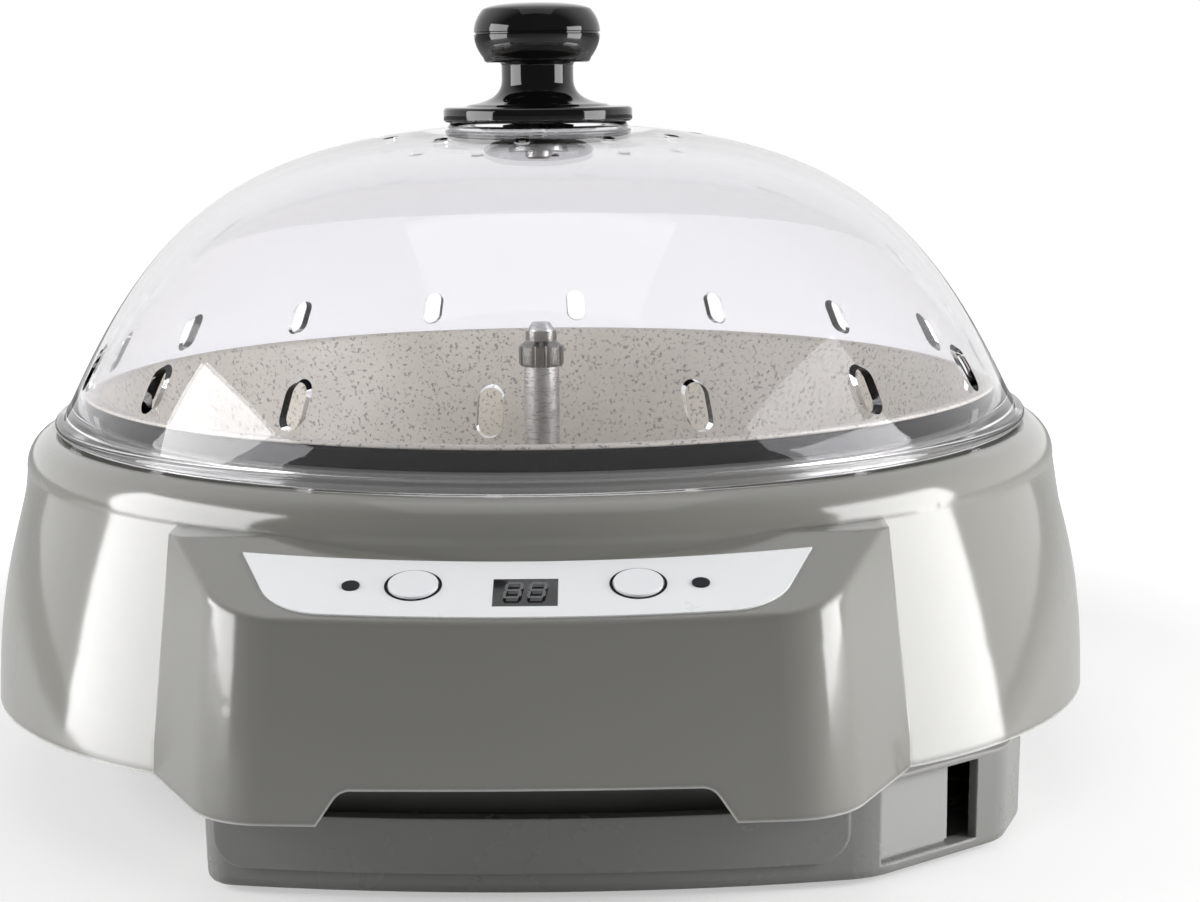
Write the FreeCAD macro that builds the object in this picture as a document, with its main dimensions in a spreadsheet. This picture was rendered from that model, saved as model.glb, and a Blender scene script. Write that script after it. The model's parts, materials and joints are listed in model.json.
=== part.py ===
import FreeCAD, Part
import math
import operator
import os
import Sketcher

# Home coffee bean roaster, millimetres, +Z up, front towards -Y.
# Heights are above the flat underside of the base tray, which the feet lift off the table.

Vector = FreeCAD.Vector
Rotation = FreeCAD.Rotation
Z_AXIS = Vector(0, 0, 1)
X_AXIS = Vector(1, 0, 0)

doc = FreeCAD.newDocument("coffee_roaster")
sheet = doc.addObject("Spreadsheet::Sheet", "Sizes")

DRIVING_SIZES = {
    # Stance and housing
    "foot_lift": 1.5,
    "foot_radius": 8.0,
    "shell_wall": 2.5,
    "rim_height": 26.5,
    "rim_reach": 161.6,
    "rim_diagonal": 173.2,
    "rim_side_radius": 420.0,
    "waist_height": 60.0,
    "waist_reach": 160.4,
    "waist_diagonal": 165.0,
    "shoulder_height": 88.0,
    "shoulder_radius": 156.0,
    "seat_height": 98.8,
    "seat_radius": 148.5,
    "seat_wall": 3.2,
    "collar_rise": 3.7,
    "collar_outer": 141.0,
    "collar_inner": 136.2,
    # Front bay and its sloping deck
    "bay_depth": 32.0,
    "bay_bow": 3.6,
    "bay_corner_x": 76.0,
    "bay_root_x": 97.5,
    "bay_root_y": 141.0,
    "bay_corner_radius": 22.0,
    "bay_draft": 6.0,
    "deck_slope": 19.3,
    "deck_height": 84.5,
    "deck_tuck": 1.0,
    "deck_edge_radius": 1.6,
    "inlet_half_width": 51.5,
    "inlet_top_half_width": 44.3,
    "inlet_height": 35.0,
    "inlet_corner_radius": 5.0,
    # Base tray; an inset is how far its plan stands in from the ring of screw posts
    "base_wall": 2.5,
    "base_floor": 2.5,
    "base_draft": 1.0,
    "base_front_setback": 25.8,
    "base_front_bow": 8.5,
    "base_left_spread": 6.0,
    "base_right_spread": 11.0,
    "base_end_inset": 24.0,
    "base_end_rise": 28.8,
    "base_end_length": 19.9,
    "base_side_inset": 16.4,
    "base_back_inset": 9.9,
    "base_back_corner_inset": 21.9,
    "base_left_radius": 8.0,
    "base_right_radius": 25.0,
    "base_end_radius": 12.0,
    "base_back_radius": 55.0,
    "base_under_radius": 3.0,
    "base_front_top": 20.5,
    "front_pad_half_width": 80.0,
    "front_pad_bottom": 6.2,
    "front_pad_proud": 1.6,
    "front_pad_corner": 8.0,
    "flange_thick": 1.8,
    "post_gap": 8.7,
    "window_sill": 3.6,
    "window_top": 25.2,
    "window_start": 2.0,
    "window_end": 36.4,
    "vent_panel_end": 28.3,
    "vent_panel_thick": 1.8,
    "vent_panel_setback": 2.8,
    "vent_panel_lift": 0.9,
    # Dome lid
    "lid_gap": 0.2,
    "lip_radius": 147.5,
    "lip_thick": 3.6,
    "dome_base_radius": 144.5,
    "dome_wall": 3.0,
    "dome_rise": 88.2,
    "dome_flare": 25.0,
    "dome_side_pull": 66.0,
    "dome_crown_pull": 88.0,
    "slot_height": 19.2,
    "slot_width": 6.5,
    "slot_length": 12.0,
    "slot_phase": 3.95,
    "vent_ring_radius": 48.0,
    "vent_radius": 2.2,
    "boss_radius": 27.0,
    "boss_drop": 5.0,
    # Knob
    "knob_head_radius": 19.0,
    "knob_head_height": 17.9,
    "knob_neck_radius": 10.9,
    "knob_neck_top": 17.8,
    "knob_flare_radius": 21.6,
    "knob_skirt_radius": 28.75,
    "knob_skirt_thick": 4.5,
    "knob_screw_radius": 2.0,
    # Pan and chamber
    "pan_depth": 49.5,
    "pan_wall": 1.6,
    "pan_top_radius": 134.4,
    "pan_floor_radius": 124.0,
    "pan_corner_radius": 14.0,
    "pan_rim_radius": 137.5,
    "pan_rim_rise": 10.7,
    "pan_rim_thick": 1.2,
    "ring_radius": 138.0,
    "clip_width": 5.0,
    "clip_angle": 62.0,
    "reflector_radius": 139.2,
    "reflector_flange": 145.0,
    "reflector_floor": 43.2,
    "reflector_sheet": 1.2,
    "heater_radius": 85.0,
    "heater_tube_radius": 4.0,
    "heater_height": 51.0,
    # Stirrer and drive
    "shaft_radius": 4.0,
    "running_gap": 0.05,
    "bush_radius": 7.0,
    "bush_flange": 10.0,
    "bush_flange_thick": 1.5,
    "hub_radius": 9.0,
    "hub_top_radius": 5.5,
    "hub_top": 112.6,
    "shaft_top": 126.0,
    "nut_radius": 7.0,
    "nut_top": 123.6,
    "arm_reach": 105.0,
    "arm_thick": 3.0,
    "arm_height": 12.0,
    "arm_clearance": 1.0,
    "motor_radius": 30.0,
    "motor_bottom": 5.0,
    "bracket_height": 34.0,
    "bracket_sheet": 2.0,
    "bracket_half_length": 46.0,
    "bracket_width": 44.0,
    "coupling_radius": 9.0,
    # Controls, measured from the deck plane
    "panel_half_width": 70.5,
    "panel_top": 3.9,
    "panel_top_dip": 5.7,
    "panel_drop": 26.9,
    "panel_side_lean": 6.5,
    "panel_side_drop": 13.0,
    "panel_corner_run": 22.0,
    "panel_bottom_bow": 2.2,
    "panel_recess": 1.0,
    "panel_thick": 1.4,
    "control_row": 12.5,
    "display_row": 16.1,
    "button_radius": 6.05,
    "button_spacing": 27.2,
    "button_proud": 1.0,
    "button_gap": 0.25,
    "button_travel": 0.8,
    "led_radius": 2.2,
    "led_spacing": 42.3,
    "display_width": 15.7,
    "display_height": 12.3,
    "board_depth": 8.6,
    "board_thick": 1.6,
    "board_half_length": 56.0,
    "board_width": 22.0,
}

for row, (name, number) in enumerate(DRIVING_SIZES.items(), start=1):
    sheet.set(f"A{row}", name)
    sheet.set(f"B{row}", str(number))
    sheet.setAlias(f"B{row}", name)
doc.recompute()


# Sizes that carry both their number and the cells they come from


class Size:
    def __init__(self, value, text):
        self.value = value
        self.text = text

    def __add__(self, other):
        return joined(self, "+", other)

    def __radd__(self, other):
        return joined(other, "+", self)

    def __sub__(self, other):
        return joined(self, "-", other)

    def __rsub__(self, other):
        return joined(other, "-", self)

    def __mul__(self, other):
        return joined(self, "*", other)

    def __rmul__(self, other):
        return joined(other, "*", self)

    def __truediv__(self, other):
        return joined(self, "/", other)

    def __rtruediv__(self, other):
        return joined(other, "/", self)

    def __neg__(self):
        return joined(0, "-", self)

    def __float__(self):
        return float(self.value)


SIGNS = {"+": operator.add, "-": operator.sub, "*": operator.mul, "/": operator.truediv}


def sized(number):
    if isinstance(number, Size):
        return number
    return Size(float(number), repr(float(number)))


def joined(left, sign, right):
    left = sized(left)
    right = sized(right)
    return Size(SIGNS[sign](left.value, right.value), f"({left.text} {sign} {right.text})")


def cell(name):
    return Size(float(sheet.get(name)), f"Sizes.{name}")


def cosine(angle):
    return Size(math.cos(math.radians(angle.value)), f"cos({angle.text} * 1 deg)")


def tangent(angle):
    return Size(math.tan(math.radians(angle.value)), f"tan({angle.text} * 1 deg)")


def bind(item, path, size):
    if isinstance(size, Size) and "Sizes." in size.text:
        item.setExpression(path, size.text)


S = {name: cell(name) for name in DRIVING_SIZES}

# Places worked out from the driving sizes

DECK_START = S["shoulder_radius"] - S["deck_tuck"]
BAY_REACH = DECK_START + S["bay_depth"]
COLLAR_HEIGHT = S["seat_height"] + S["collar_rise"]
POST_RING = S["reflector_radius"] + S["post_gap"]
FRONT_REACH = BAY_REACH - (S["inlet_height"] - S["rim_height"]) * tangent(S["bay_draft"])
AXIS_SHIFT = (FRONT_REACH - S["rim_reach"]) / 2
LIFT = S["foot_lift"]
DECK_Y = -DECK_START
PAN_RIM = S["seat_height"] + S["pan_rim_rise"]
PAN_FLOOR = PAN_RIM - S["pan_depth"]
LID_HEIGHT = S["seat_height"] + S["lid_gap"]
CROWN_HEIGHT = LID_HEIGHT + S["dome_rise"]
KNOB_HEIGHT = CROWN_HEIGHT + 0.5
KNOB_TALL = S["knob_neck_top"] + S["knob_head_height"]
BRACKET_UNDER = S["bracket_height"] - S["bracket_sheet"]
BUSH_TOP = PAN_FLOOR + S["bush_flange_thick"]
HUB_BOTTOM = BUSH_TOP + 0.5
ARM_BOTTOM = PAN_FLOOR + S["arm_clearance"]
BUTTON_FLANGE_TOP = -S["shell_wall"] - 0.3
BUTTON_FLANGE_THICK = 1.6
SWITCH_GAP = 0.3
BOARD_SCREW_SPREAD = 51.0
BOARD_SCREW_ROWS = (6.5, 20.5)
BOARD_MIDDLE = 13.5
POST_RADIUS = 5.0
GLAND_ACROSS = 70.0
GLAND_HEIGHT = 15.0
GLAND_SEAT = 0.45
SCREW_HOLE = S["knob_screw_radius"] + 0.2
TERMINAL_SPREAD = 9.0
TERMINAL_RADIUS = 2.0
BRACKET_FOOT = 14.0


# Shared helpers


def point(x, y, z=0.0):
    return Vector(float(x), float(y), float(z))


def place(item, x=0.0, y=0.0, z=0.0, turn=0.0, about=Z_AXIS):
    """Seat a sub-part at a point beside the roaster's axis, at a height above the base."""
    y = y + AXIS_SHIFT
    z = z + LIFT
    item.Placement = FreeCAD.Placement(point(x, y, z), Rotation(about, float(turn)))
    for letter, size in zip("xyz", (x, y, z)):
        bind(item, f"Placement.Base.{letter}", size)
    return item


def make_body(label):
    body = doc.addObject("PartDesign::Body", label)
    body.Label = label
    return body


def origin_item(body, role):
    """One of the body's own planes or axes, by its role."""
    for feature in body.Origin.OriginFeatures:
        if feature.Role == role:
            return feature
    raise ValueError(role)


def make_sketch(body, name, role, offset=0.0):
    """A sketch on one of the body's own planes, moved along the plane's normal."""
    sketch = body.newObject("Sketcher::SketchObject", name)
    sketch.AttachmentSupport = [(origin_item(body, role), "")]
    sketch.MapMode = "FlatFace"
    sketch.AttachmentOffset = FreeCAD.Placement(point(0, 0, offset), Rotation())
    bind(sketch, "AttachmentOffset.Base.z", offset)
    return sketch


def end_at(sketch, index, spot):
    """Which end of a line or arc lies at a spot: 1 for its start, 2 for its end."""
    gaps = [(sketch.getPoint(index, end) - spot).Length for end in (1, 2)]
    return 1 if gaps[0] < gaps[1] else 2


def close_loop(sketch, spots):
    """Join the sides of a closed outline at its corners."""
    count = len(spots)
    for index in range(count):
        following = (index + 1) % count
        here = end_at(sketch, index, spots[following])
        there = end_at(sketch, following, spots[following])
        sketch.addConstraint(Sketcher.Constraint("Coincident", index, here, following, there))


def draw_outline(sketch, corners, bows=None):
    """Closed outline through corners; a side with a bow is an arc through its shifted middle."""
    bows = bows or {}
    count = len(corners)
    for index, corner in enumerate(corners):
        following = corners[(index + 1) % count]
        start = point(*corner)
        end = point(*following)
        if index in bows:
            middle = (start + end) / 2 + point(*bows[index])
            sketch.addGeometry(Part.Arc(start, middle, end), False)
        else:
            sketch.addGeometry(Part.LineSegment(start, end), False)
    spots = [point(*corner) for corner in corners]
    close_loop(sketch, spots)
    for index, corner in enumerate(corners):
        end = end_at(sketch, index, spots[index])
        for kind, size in zip(("DistanceX", "DistanceY"), corner):
            limit = Sketcher.Constraint(kind, -1, 1, index, end, float(size))
            number = sketch.addConstraint(limit)
            bind(sketch, f"Constraints[{number}]", size)


def draw_circle(sketch, x, y, radius):
    circle = Part.Circle(point(x, y), Z_AXIS, float(radius))
    index = sketch.addGeometry(circle, False)
    for kind, size in (("DistanceX", x), ("DistanceY", y)):
        number = sketch.addConstraint(Sketcher.Constraint(kind, -1, 1, index, 3, float(size)))
        bind(sketch, f"Constraints[{number}]", size)
    number = sketch.addConstraint(Sketcher.Constraint("Radius", index, float(radius)))
    bind(sketch, f"Constraints[{number}]", radius)


def revolve(body, name, corners, bows=None, cut=False):
    """Turn a profile of radius and height pairs round the body's Z axis."""
    sketch = make_sketch(body, f"{name}_profile", "XZ_Plane")
    draw_outline(sketch, corners, bows)
    kind = "PartDesign::Groove" if cut else "PartDesign::Revolution"
    feature = body.newObject(kind, name)
    feature.Profile = sketch
    feature.ReferenceAxis = (sketch, ["V_Axis"])
    feature.Angle = 360
    return feature


def pad(body, name, sketch, length, reverse=False, midplane=False, draft=0.0, kind="Pad"):
    feature = body.newObject(f"PartDesign::{kind}", name)
    feature.Profile = sketch
    feature.Length = float(length)
    bind(feature, "Length", length)
    feature.Reversed = reverse
    feature.Midplane = midplane
    if float(draft):
        feature.TaperAngle = float(draft)
        bind(feature, "TaperAngle", draft)
    return feature


def pattern(body, name, feature, copies):
    turned = body.newObject("PartDesign::PolarPattern", name)
    turned.Originals = [feature]
    turned.Axis = (origin_item(body, "Z_Axis"), [""])
    turned.Angle = 360
    turned.Occurrences = copies
    body.Tip = turned
    return turned


def upright_edges(base, corners):
    """Names of the edges that rise from the given corners of a drafted outline."""
    doc.recompute()
    chosen = []
    for corner_x, corner_y in corners:
        best = None
        for number, edge in enumerate(base.Shape.Edges, start=1):
            ends = [vertex.Point for vertex in edge.Vertexes]
            if len(ends) < 2 or abs(ends[0].z - ends[1].z) < 3:
                continue
            low = min(ends, key=lambda end: end.z)
            gap = math.hypot(low.x - float(corner_x), low.y - float(corner_y))
            if best is None or gap < best[0]:
                best = (gap, number)
        chosen.append(f"Edge{best[1]}")
    return chosen


def fillet(body, name, base, edges, radius):
    rounded = body.newObject("PartDesign::Fillet", name)
    rounded.Base = (base, edges)
    rounded.Radius = float(radius)
    bind(rounded, "Radius", radius)
    return rounded


def cylinder(name, radius, height, x=0.0, y=0.0, z=0.0, tilt=None):
    item = doc.addObject("Part::Cylinder", name)
    item.Radius = float(radius)
    item.Height = float(height)
    bind(item, "Radius", radius)
    bind(item, "Height", height)
    item.Placement = FreeCAD.Placement(point(x, y, z), tilt or Rotation())
    for letter, size in zip("xyz", (x, y, z)):
        bind(item, f"Placement.Base.{letter}", size)
    return item


def box(name, length, width, height, x, y, z, tilt=None):
    """A block centred on x and y that stands on z."""
    item = doc.addObject("Part::Box", name)
    sizes = (("Length", length), ("Width", width), ("Height", height))
    for field, size in sizes:
        setattr(item, field, float(size))
        bind(item, field, size)
    corner = (x - length / 2, y - width / 2, z)
    item.Placement = FreeCAD.Placement(point(*corner), tilt or Rotation())
    for letter, size in zip("xyz", corner):
        bind(item, f"Placement.Base.{letter}", size)
    return item


def cut(name, base, tools):
    result = doc.addObject("Part::Cut", name)
    result.Base = base
    result.Tool = tools[0] if len(tools) == 1 else fuse(f"{name}_tools", tools)
    return result


def fuse(name, items):
    result = doc.addObject("Part::MultiFuse", name)
    result.Shapes = items
    return result


def group(name, items):
    result = doc.addObject("Part::Compound", name)
    result.Links = items
    return result


PARTS = []


def finish_part(item, label, **where):
    """Label a sub-part, seat it and keep it for export."""
    item.Label = label
    place(item, **where)
    PARTS.append(item)
    return item


# Dome lid


def dome_curve(inset):
    """One side of the dome from its foot to the crown, as four poles of a smooth curve."""
    lean = math.radians(S["dome_flare"].value)
    foot = Vector(S["dome_base_radius"].value, S["lip_thick"].value, 0)
    crown = Vector(0, S["dome_rise"].value, 0)
    side = foot + Vector(-math.sin(lean), math.cos(lean), 0) * S["dome_side_pull"].value
    top = crown + Vector(S["dome_crown_pull"].value, 0, 0)
    outward = Vector(math.cos(lean), math.sin(lean), 0)
    diagonal = Vector(1, 1, 0).normalize()
    moves = (outward, (outward + diagonal).normalize(), Vector(0.25, 1, 0), Vector(0, 1, 0))
    poles = [pole - move * inset for pole, move in zip((foot, side, top, crown), moves)]
    curve = Part.BSplineCurve()
    curve.buildFromPolesMultsKnots(poles, [4, 4], [0, 1], False, 3)
    return curve


def make_dome_lid():
    body = make_body("dome_lid")
    sketch = make_sketch(body, "dome_profile", "XZ_Plane")
    wall = S["dome_wall"].value
    outer = dome_curve(0.0)
    inner = dome_curve(wall)
    lip = S["lip_radius"].value
    thick = S["lip_thick"].value
    foot_inner = S["collar_outer"].value + 0.5
    round_off = thick * 0.3
    outer_foot, outer_crown = outer.StartPoint, outer.EndPoint
    inner_foot, inner_crown = inner.StartPoint, inner.EndPoint
    path = [
        Vector(outer_foot.x + 0.6, thick, 0),
        Vector(lip - round_off, thick, 0),
        Vector(lip, thick / 2, 0),
        Vector(lip - round_off, 0, 0),
        Vector(foot_inner, 0, 0),
        Vector(foot_inner, inner_foot.y, 0),
    ]
    pieces = [
        outer,
        Part.LineSegment(outer_crown, inner_crown),
        inner,
        Part.LineSegment(inner_foot, path[5]),
        Part.LineSegment(path[5], path[4]),
        Part.LineSegment(path[4], path[3]),
        Part.Arc(path[3], path[2], path[1]),
        Part.LineSegment(path[1], outer_foot),
    ]
    for piece in pieces:
        sketch.addGeometry(piece, False)
    turned = body.newObject("PartDesign::Revolution", "dome_shell")
    turned.Profile = sketch
    turned.ReferenceAxis = (sketch, ["V_Axis"])
    turned.Angle = 360
    top = S["dome_rise"]
    boss = [
        (0, top - S["boss_drop"]),
        (S["boss_radius"] - 4, top - S["boss_drop"]),
        (S["boss_radius"], top - S["boss_drop"] + 2),
        (S["boss_radius"], top + 0.5),
        (0, top + 0.5),
    ]
    revolve(body, "crown_boss", boss)
    hole = make_sketch(body, "screw_hole_outline", "XY_Plane", top - S["boss_drop"] - 2)
    draw_circle(hole, 0, 0, SCREW_HOLE)
    pad(body, "screw_hole", hole, S["boss_drop"] + 6, reverse=True, kind="Pocket")
    vent = make_sketch(body, "vent_outline", "XY_Plane", top - 12)
    draw_circle(vent, S["vent_ring_radius"], 0, S["vent_radius"])
    first_vent = pad(body, "crown_vent", vent, 16, reverse=True, kind="Pocket")
    pattern(body, "crown_vents", first_vent, 12)
    half = S["slot_width"] / 2
    reach = S["slot_length"] / 2
    slot = make_sketch(body, "slot_outline", "XZ_Plane")
    corners = [
        (-half, S["slot_height"] - reach + half),
        (half, S["slot_height"] - reach + half),
        (half, S["slot_height"] + reach - half),
        (-half, S["slot_height"] + reach - half),
    ]
    draw_outline(slot, corners, {0: (0, -half.value), 2: (0, half.value)})
    first_slot = pad(body, "air_slot", slot, S["lip_radius"] + 10, kind="Pocket")
    pattern(body, "air_slots", first_slot, 16)
    turn = -S["slot_phase"]
    finish_part(body, "dome_lid", z=LID_HEIGHT, turn=turn)


def make_knob():
    body = make_body("knob")
    head = S["knob_head_radius"]
    neck = S["knob_neck_radius"]
    skirt = S["knob_skirt_radius"]
    rise = S["knob_neck_top"]
    flat = S["knob_skirt_thick"]
    edge = 1.4
    profile = [
        (0, 0),
        (skirt - edge, 0),
        (skirt, edge),
        (skirt, flat - edge / 2),
        (skirt - edge / 2, flat),
        (S["knob_flare_radius"], flat),
        (neck, flat + 8),
        (neck, rise),
        (head - 2.2, rise),
        (head - 0.7, rise + 1.6),
        (head - 0.9, rise + S["knob_head_height"] - 3.2),
        (head - 3.0, rise + S["knob_head_height"] - 0.6),
        (head - 9.0, KNOB_TALL),
        (0, KNOB_TALL),
    ]
    bows = {5: (-3.2, -1.9), 9: (0.8, 0), 10: (0.5, 0.5)}
    revolve(body, "knob_turning", profile, bows)
    bore = [(0, 0), (4.2, 0), (4.2, 12), (0, 12)]
    revolve(body, "insert_bore", bore, cut=True)
    finish_part(body, "knob", z=KNOB_HEIGHT)


def make_knob_fixings():
    insert = make_body("knob_insert")
    radius = S["knob_screw_radius"]
    revolve(insert, "insert_turning", [(radius, 0), (4.2, 0), (4.2, 12), (radius, 12)])
    finish_part(insert, "knob_insert", z=KNOB_HEIGHT)

    boss_under = CROWN_HEIGHT - S["boss_drop"]
    washer = make_body("knob_washer")
    revolve(washer, "washer_ring", [(SCREW_HOLE, 0), (9, 0), (9, 1.2), (SCREW_HOLE, 1.2)])
    finish_part(washer, "knob_washer", z=boss_under - 1.2)

    screw = make_body("knob_screw")
    shank = S["boss_drop"] + 0.5 + 1.2 + 9
    outline = [(0, 0), (3.2, 0), (4, 0.8), (4, 2.6), (radius, 2.6), (radius, shank + 2.6), (0, shank + 2.6)]
    revolve(screw, "screw_turning", outline)
    finish_part(screw, "knob_screw", z=boss_under - 1.2 - 2.6)


# Pan and roasting chamber


def make_roasting_pan():
    body = make_body("roasting_pan")
    wall = S["pan_wall"]
    top = S["pan_depth"]
    rim_low = top - S["pan_rim_thick"]
    floor = S["pan_floor_radius"]
    side = S["pan_top_radius"]
    rim = S["pan_rim_radius"]
    corner = S["pan_corner_radius"]
    hole = S["bush_radius"]
    bulge = corner.value * 0.2071
    profile = [
        (hole, -wall),
        (floor - corner, -wall),
        (floor, corner - wall),
        (side, rim_low),
        (rim, rim_low),
        (rim, top - 0.8),
        (rim - 1.2, top),
        (side - wall, top),
        (floor - wall, corner),
        (floor - corner, 0),
        (hole, 0),
    ]
    bows = {1: (bulge, -bulge), 8: (bulge * 0.9, -bulge * 0.9), 5: (0.2, 0.2)}
    revolve(body, "pan_turning", profile, bows)
    finish_part(body, "roasting_pan", z=PAN_FLOOR)

    ring = make_body("pan_ring")
    low = COLLAR_HEIGHT
    tall = PAN_RIM - S["pan_rim_thick"] - low
    inner = S["pan_top_radius"] + 0.6
    outer = S["ring_radius"]
    revolve(ring, "ring_turning", [(inner, 0), (outer, 0), (outer, tall - 0.6), (outer - 0.6, tall), (inner, tall)])
    finish_part(ring, "pan_ring", z=low)
    return tall


def make_pan_clips(ring_height):
    """Two lugs on the outside of the black ring, one each side of the front."""
    lugs = []
    thick = 0.9
    for side in (-1, 1):
        angle = math.radians(-90 + side * S["clip_angle"].value)
        turn = Rotation(Z_AXIS, math.degrees(angle))
        lug = doc.addObject("Part::Box", "pan_clip")
        lug.Length = thick
        lug.Width = S["clip_width"].value
        lug.Height = ring_height.value - 1.8
        bind(lug, "Width", S["clip_width"])
        offset = turn.multVec(Vector(S["ring_radius"].value, -S["clip_width"].value / 2, 0))
        lug.Placement = FreeCAD.Placement(offset, turn)
        lugs.append(lug)
    finish_part(group("pan_clips", lugs), "pan_clips", z=COLLAR_HEIGHT)


def make_bush_and_nut():
    bush = make_body("shaft_bush")
    bore = S["shaft_radius"] + S["running_gap"]
    flange = S["bush_flange"]
    lip = S["bush_flange_thick"]
    deep = S["pan_wall"] + 5
    radius = S["bush_radius"]
    revolve(bush, "bush_turning", [(bore, -deep), (radius, -deep), (radius, 0), (flange, 0), (flange, lip), (bore, lip)])
    finish_part(bush, "shaft_bush", z=PAN_FLOOR)

    nut = make_body("bush_nut")
    sketch = make_sketch(nut, "nut_outline", "XY_Plane")
    across = S["bush_radius"] + 4
    corners = [(across * math.cos(k * math.pi / 3), across * math.sin(k * math.pi / 3)) for k in range(6)]
    draw_outline(sketch, corners)
    pad(nut, "nut_block", sketch, 3.2)
    hole = make_sketch(nut, "nut_hole_outline", "XY_Plane")
    draw_circle(hole, 0, 0, S["bush_radius"])
    pad(nut, "nut_hole", hole, 4, reverse=True, kind="Pocket")
    finish_part(nut, "bush_nut", z=PAN_FLOOR - S["pan_wall"] - 3.2)


def make_reflector():
    body = make_body("heat_reflector")
    sheet_thick = S["reflector_sheet"]
    wall = S["reflector_radius"]
    top = S["seat_height"] - S["seat_wall"] - S["reflector_floor"]
    flange = S["reflector_flange"]
    profile = [
        (14, -sheet_thick),
        (wall - 14, -sheet_thick),
        (wall, 12),
        (wall, top - sheet_thick),
        (flange, top - sheet_thick),
        (flange, top),
        (wall - sheet_thick, top),
        (wall - sheet_thick, 12 + sheet_thick * 0.4),
        (wall - 14 - sheet_thick * 0.4, 0),
        (14, 0),
    ]
    revolve(body, "bowl_turning", profile)
    holes = make_sketch(body, "terminal_holes", "XY_Plane", -sheet_thick - 1)
    for x in (-TERMINAL_SPREAD, TERMINAL_SPREAD):
        draw_circle(holes, x, S["heater_radius"], TERMINAL_RADIUS + 0.3)
    pad(body, "terminal_openings", holes, sheet_thick + 2, reverse=True, kind="Pocket")
    finish_part(body, "heat_reflector", z=S["reflector_floor"])


def make_heater():
    ring = doc.addObject("Part::Torus", "heater_ring")
    ring.Radius1 = S["heater_radius"].value
    ring.Radius2 = S["heater_tube_radius"].value
    bind(ring, "Radius1", S["heater_radius"])
    bind(ring, "Radius2", S["heater_tube_radius"])
    sides = (-TERMINAL_SPREAD, TERMINAL_SPREAD)
    pins = [cylinder("terminal", TERMINAL_RADIUS, 16, x, S["heater_radius"], -16) for x in sides]
    element = fuse("heating_element", [ring] + pins)
    finish_part(element, "heating_element", z=S["heater_height"])

    drop = S["heater_height"] - S["reflector_floor"]
    clips = []
    for turn in (-90, 30, 150):
        x = S["heater_radius"].value * math.cos(math.radians(turn))
        y = S["heater_radius"].value * math.sin(math.radians(turn))
        tilt = Rotation(Z_AXIS, turn)
        clip = doc.addObject("Part::Box", "element_clip")
        clip.Length = 12
        clip.Width = 5
        clip.Height = drop.value - 1
        clip.Placement = FreeCAD.Placement(Vector(x, y, 0) - tilt.multVec(Vector(6, 2.5, 0)), tilt)
        hollow = doc.addObject("Part::Torus", "element_seat")
        hollow.Radius1 = S["heater_radius"].value
        hollow.Radius2 = S["heater_tube_radius"].value
        hollow.Placement = FreeCAD.Placement(Vector(0, 0, drop.value), Rotation())
        clips.append(cut("element_clip_cut", clip, [hollow]))
    finish_part(group("element_clips", clips), "element_clips", z=S["reflector_floor"])


def make_safety_parts():
    body = make_body("thermostat")
    under = -S["reflector_sheet"]
    revolve(body, "thermostat_turning", [(0, -9), (6, -9), (6, -3), (8.5, -3), (8.5, 0), (0, 0)])
    finish_part(body, "thermostat", x=-48, y=30, z=S["reflector_floor"] + under)

    fuse_body = cylinder("fuse_can", 2.2, 16, tilt=Rotation(X_AXIS, 90))
    strap = box("fuse_strap", 8, 4, 2.2, 0, -8, 0)
    link = fuse("thermal_fuse", [fuse_body, strap])
    finish_part(link, "thermal_fuse", x=52, y=-20, z=S["reflector_floor"] + under - 2.2)


# Stirrer and drive


def make_stirrer():
    hub = make_body("stirrer_hub")
    tall = S["hub_top"] - HUB_BOTTOM
    shaft = S["shaft_radius"]
    low = S["hub_radius"]
    high = S["hub_top_radius"]
    revolve(hub, "hub_turning", [(shaft, 0), (low, 0), (low, 16), (high, 24), (high, tall), (shaft, tall)])
    finish_part(hub, "stirrer_hub", z=HUB_BOTTOM)

    arms = make_body("stirrer_arms")
    rise = HUB_BOTTOM - ARM_BOTTOM
    collar = [(low, rise), (low + 4, rise), (low + 4, S["arm_height"] + 1), (low, S["arm_height"] + 1)]
    revolve(arms, "arm_collar", collar)
    sketch = make_sketch(arms, "arm_outline", "XY_Plane")
    half = S["arm_thick"] / 2
    start = low + 2
    reach = S["arm_reach"]
    sweep = 14.0
    corners = [(start, -half), (reach, -half - sweep), (reach, half - sweep), (start, half)]
    draw_outline(sketch, corners, {0: (0, sweep * 0.45), 2: (0, sweep * 0.45)})
    first = pad(arms, "arm_blade", sketch, S["arm_height"])
    pattern(arms, "arm_blades", first, 3)
    bushing = [(0, -1), (S["bush_flange"] + 1, -1), (S["bush_flange"] + 1, rise), (low, rise), (low, 40), (0, 40)]
    revolve(arms, "hub_clearance", bushing, cut=True)
    finish_part(arms, "stirrer_arms", z=ARM_BOTTOM, turn=25)

    nut = make_body("thumb_nut")
    nut_tall = S["nut_top"] - S["hub_top"]
    radius = S["nut_radius"]
    profile = [
        (shaft, 0),
        (radius - 0.5, 0),
        (radius, 0.8),
        (radius, nut_tall * 0.55),
        (radius - 2.2, nut_tall * 0.72),
        (radius - 2.2, nut_tall),
        (shaft, nut_tall),
    ]
    revolve(nut, "nut_turning", profile)
    groove = make_sketch(nut, "grip_outline", "XY_Plane")
    draw_circle(groove, radius + 0.5, 0, 1.2)
    first_grip = pad(nut, "grip_flute", groove, nut_tall * 0.72, reverse=True, kind="Pocket")
    pattern(nut, "grip_flutes", first_grip, 10)
    finish_part(nut, "thumb_nut", z=S["hub_top"])


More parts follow.
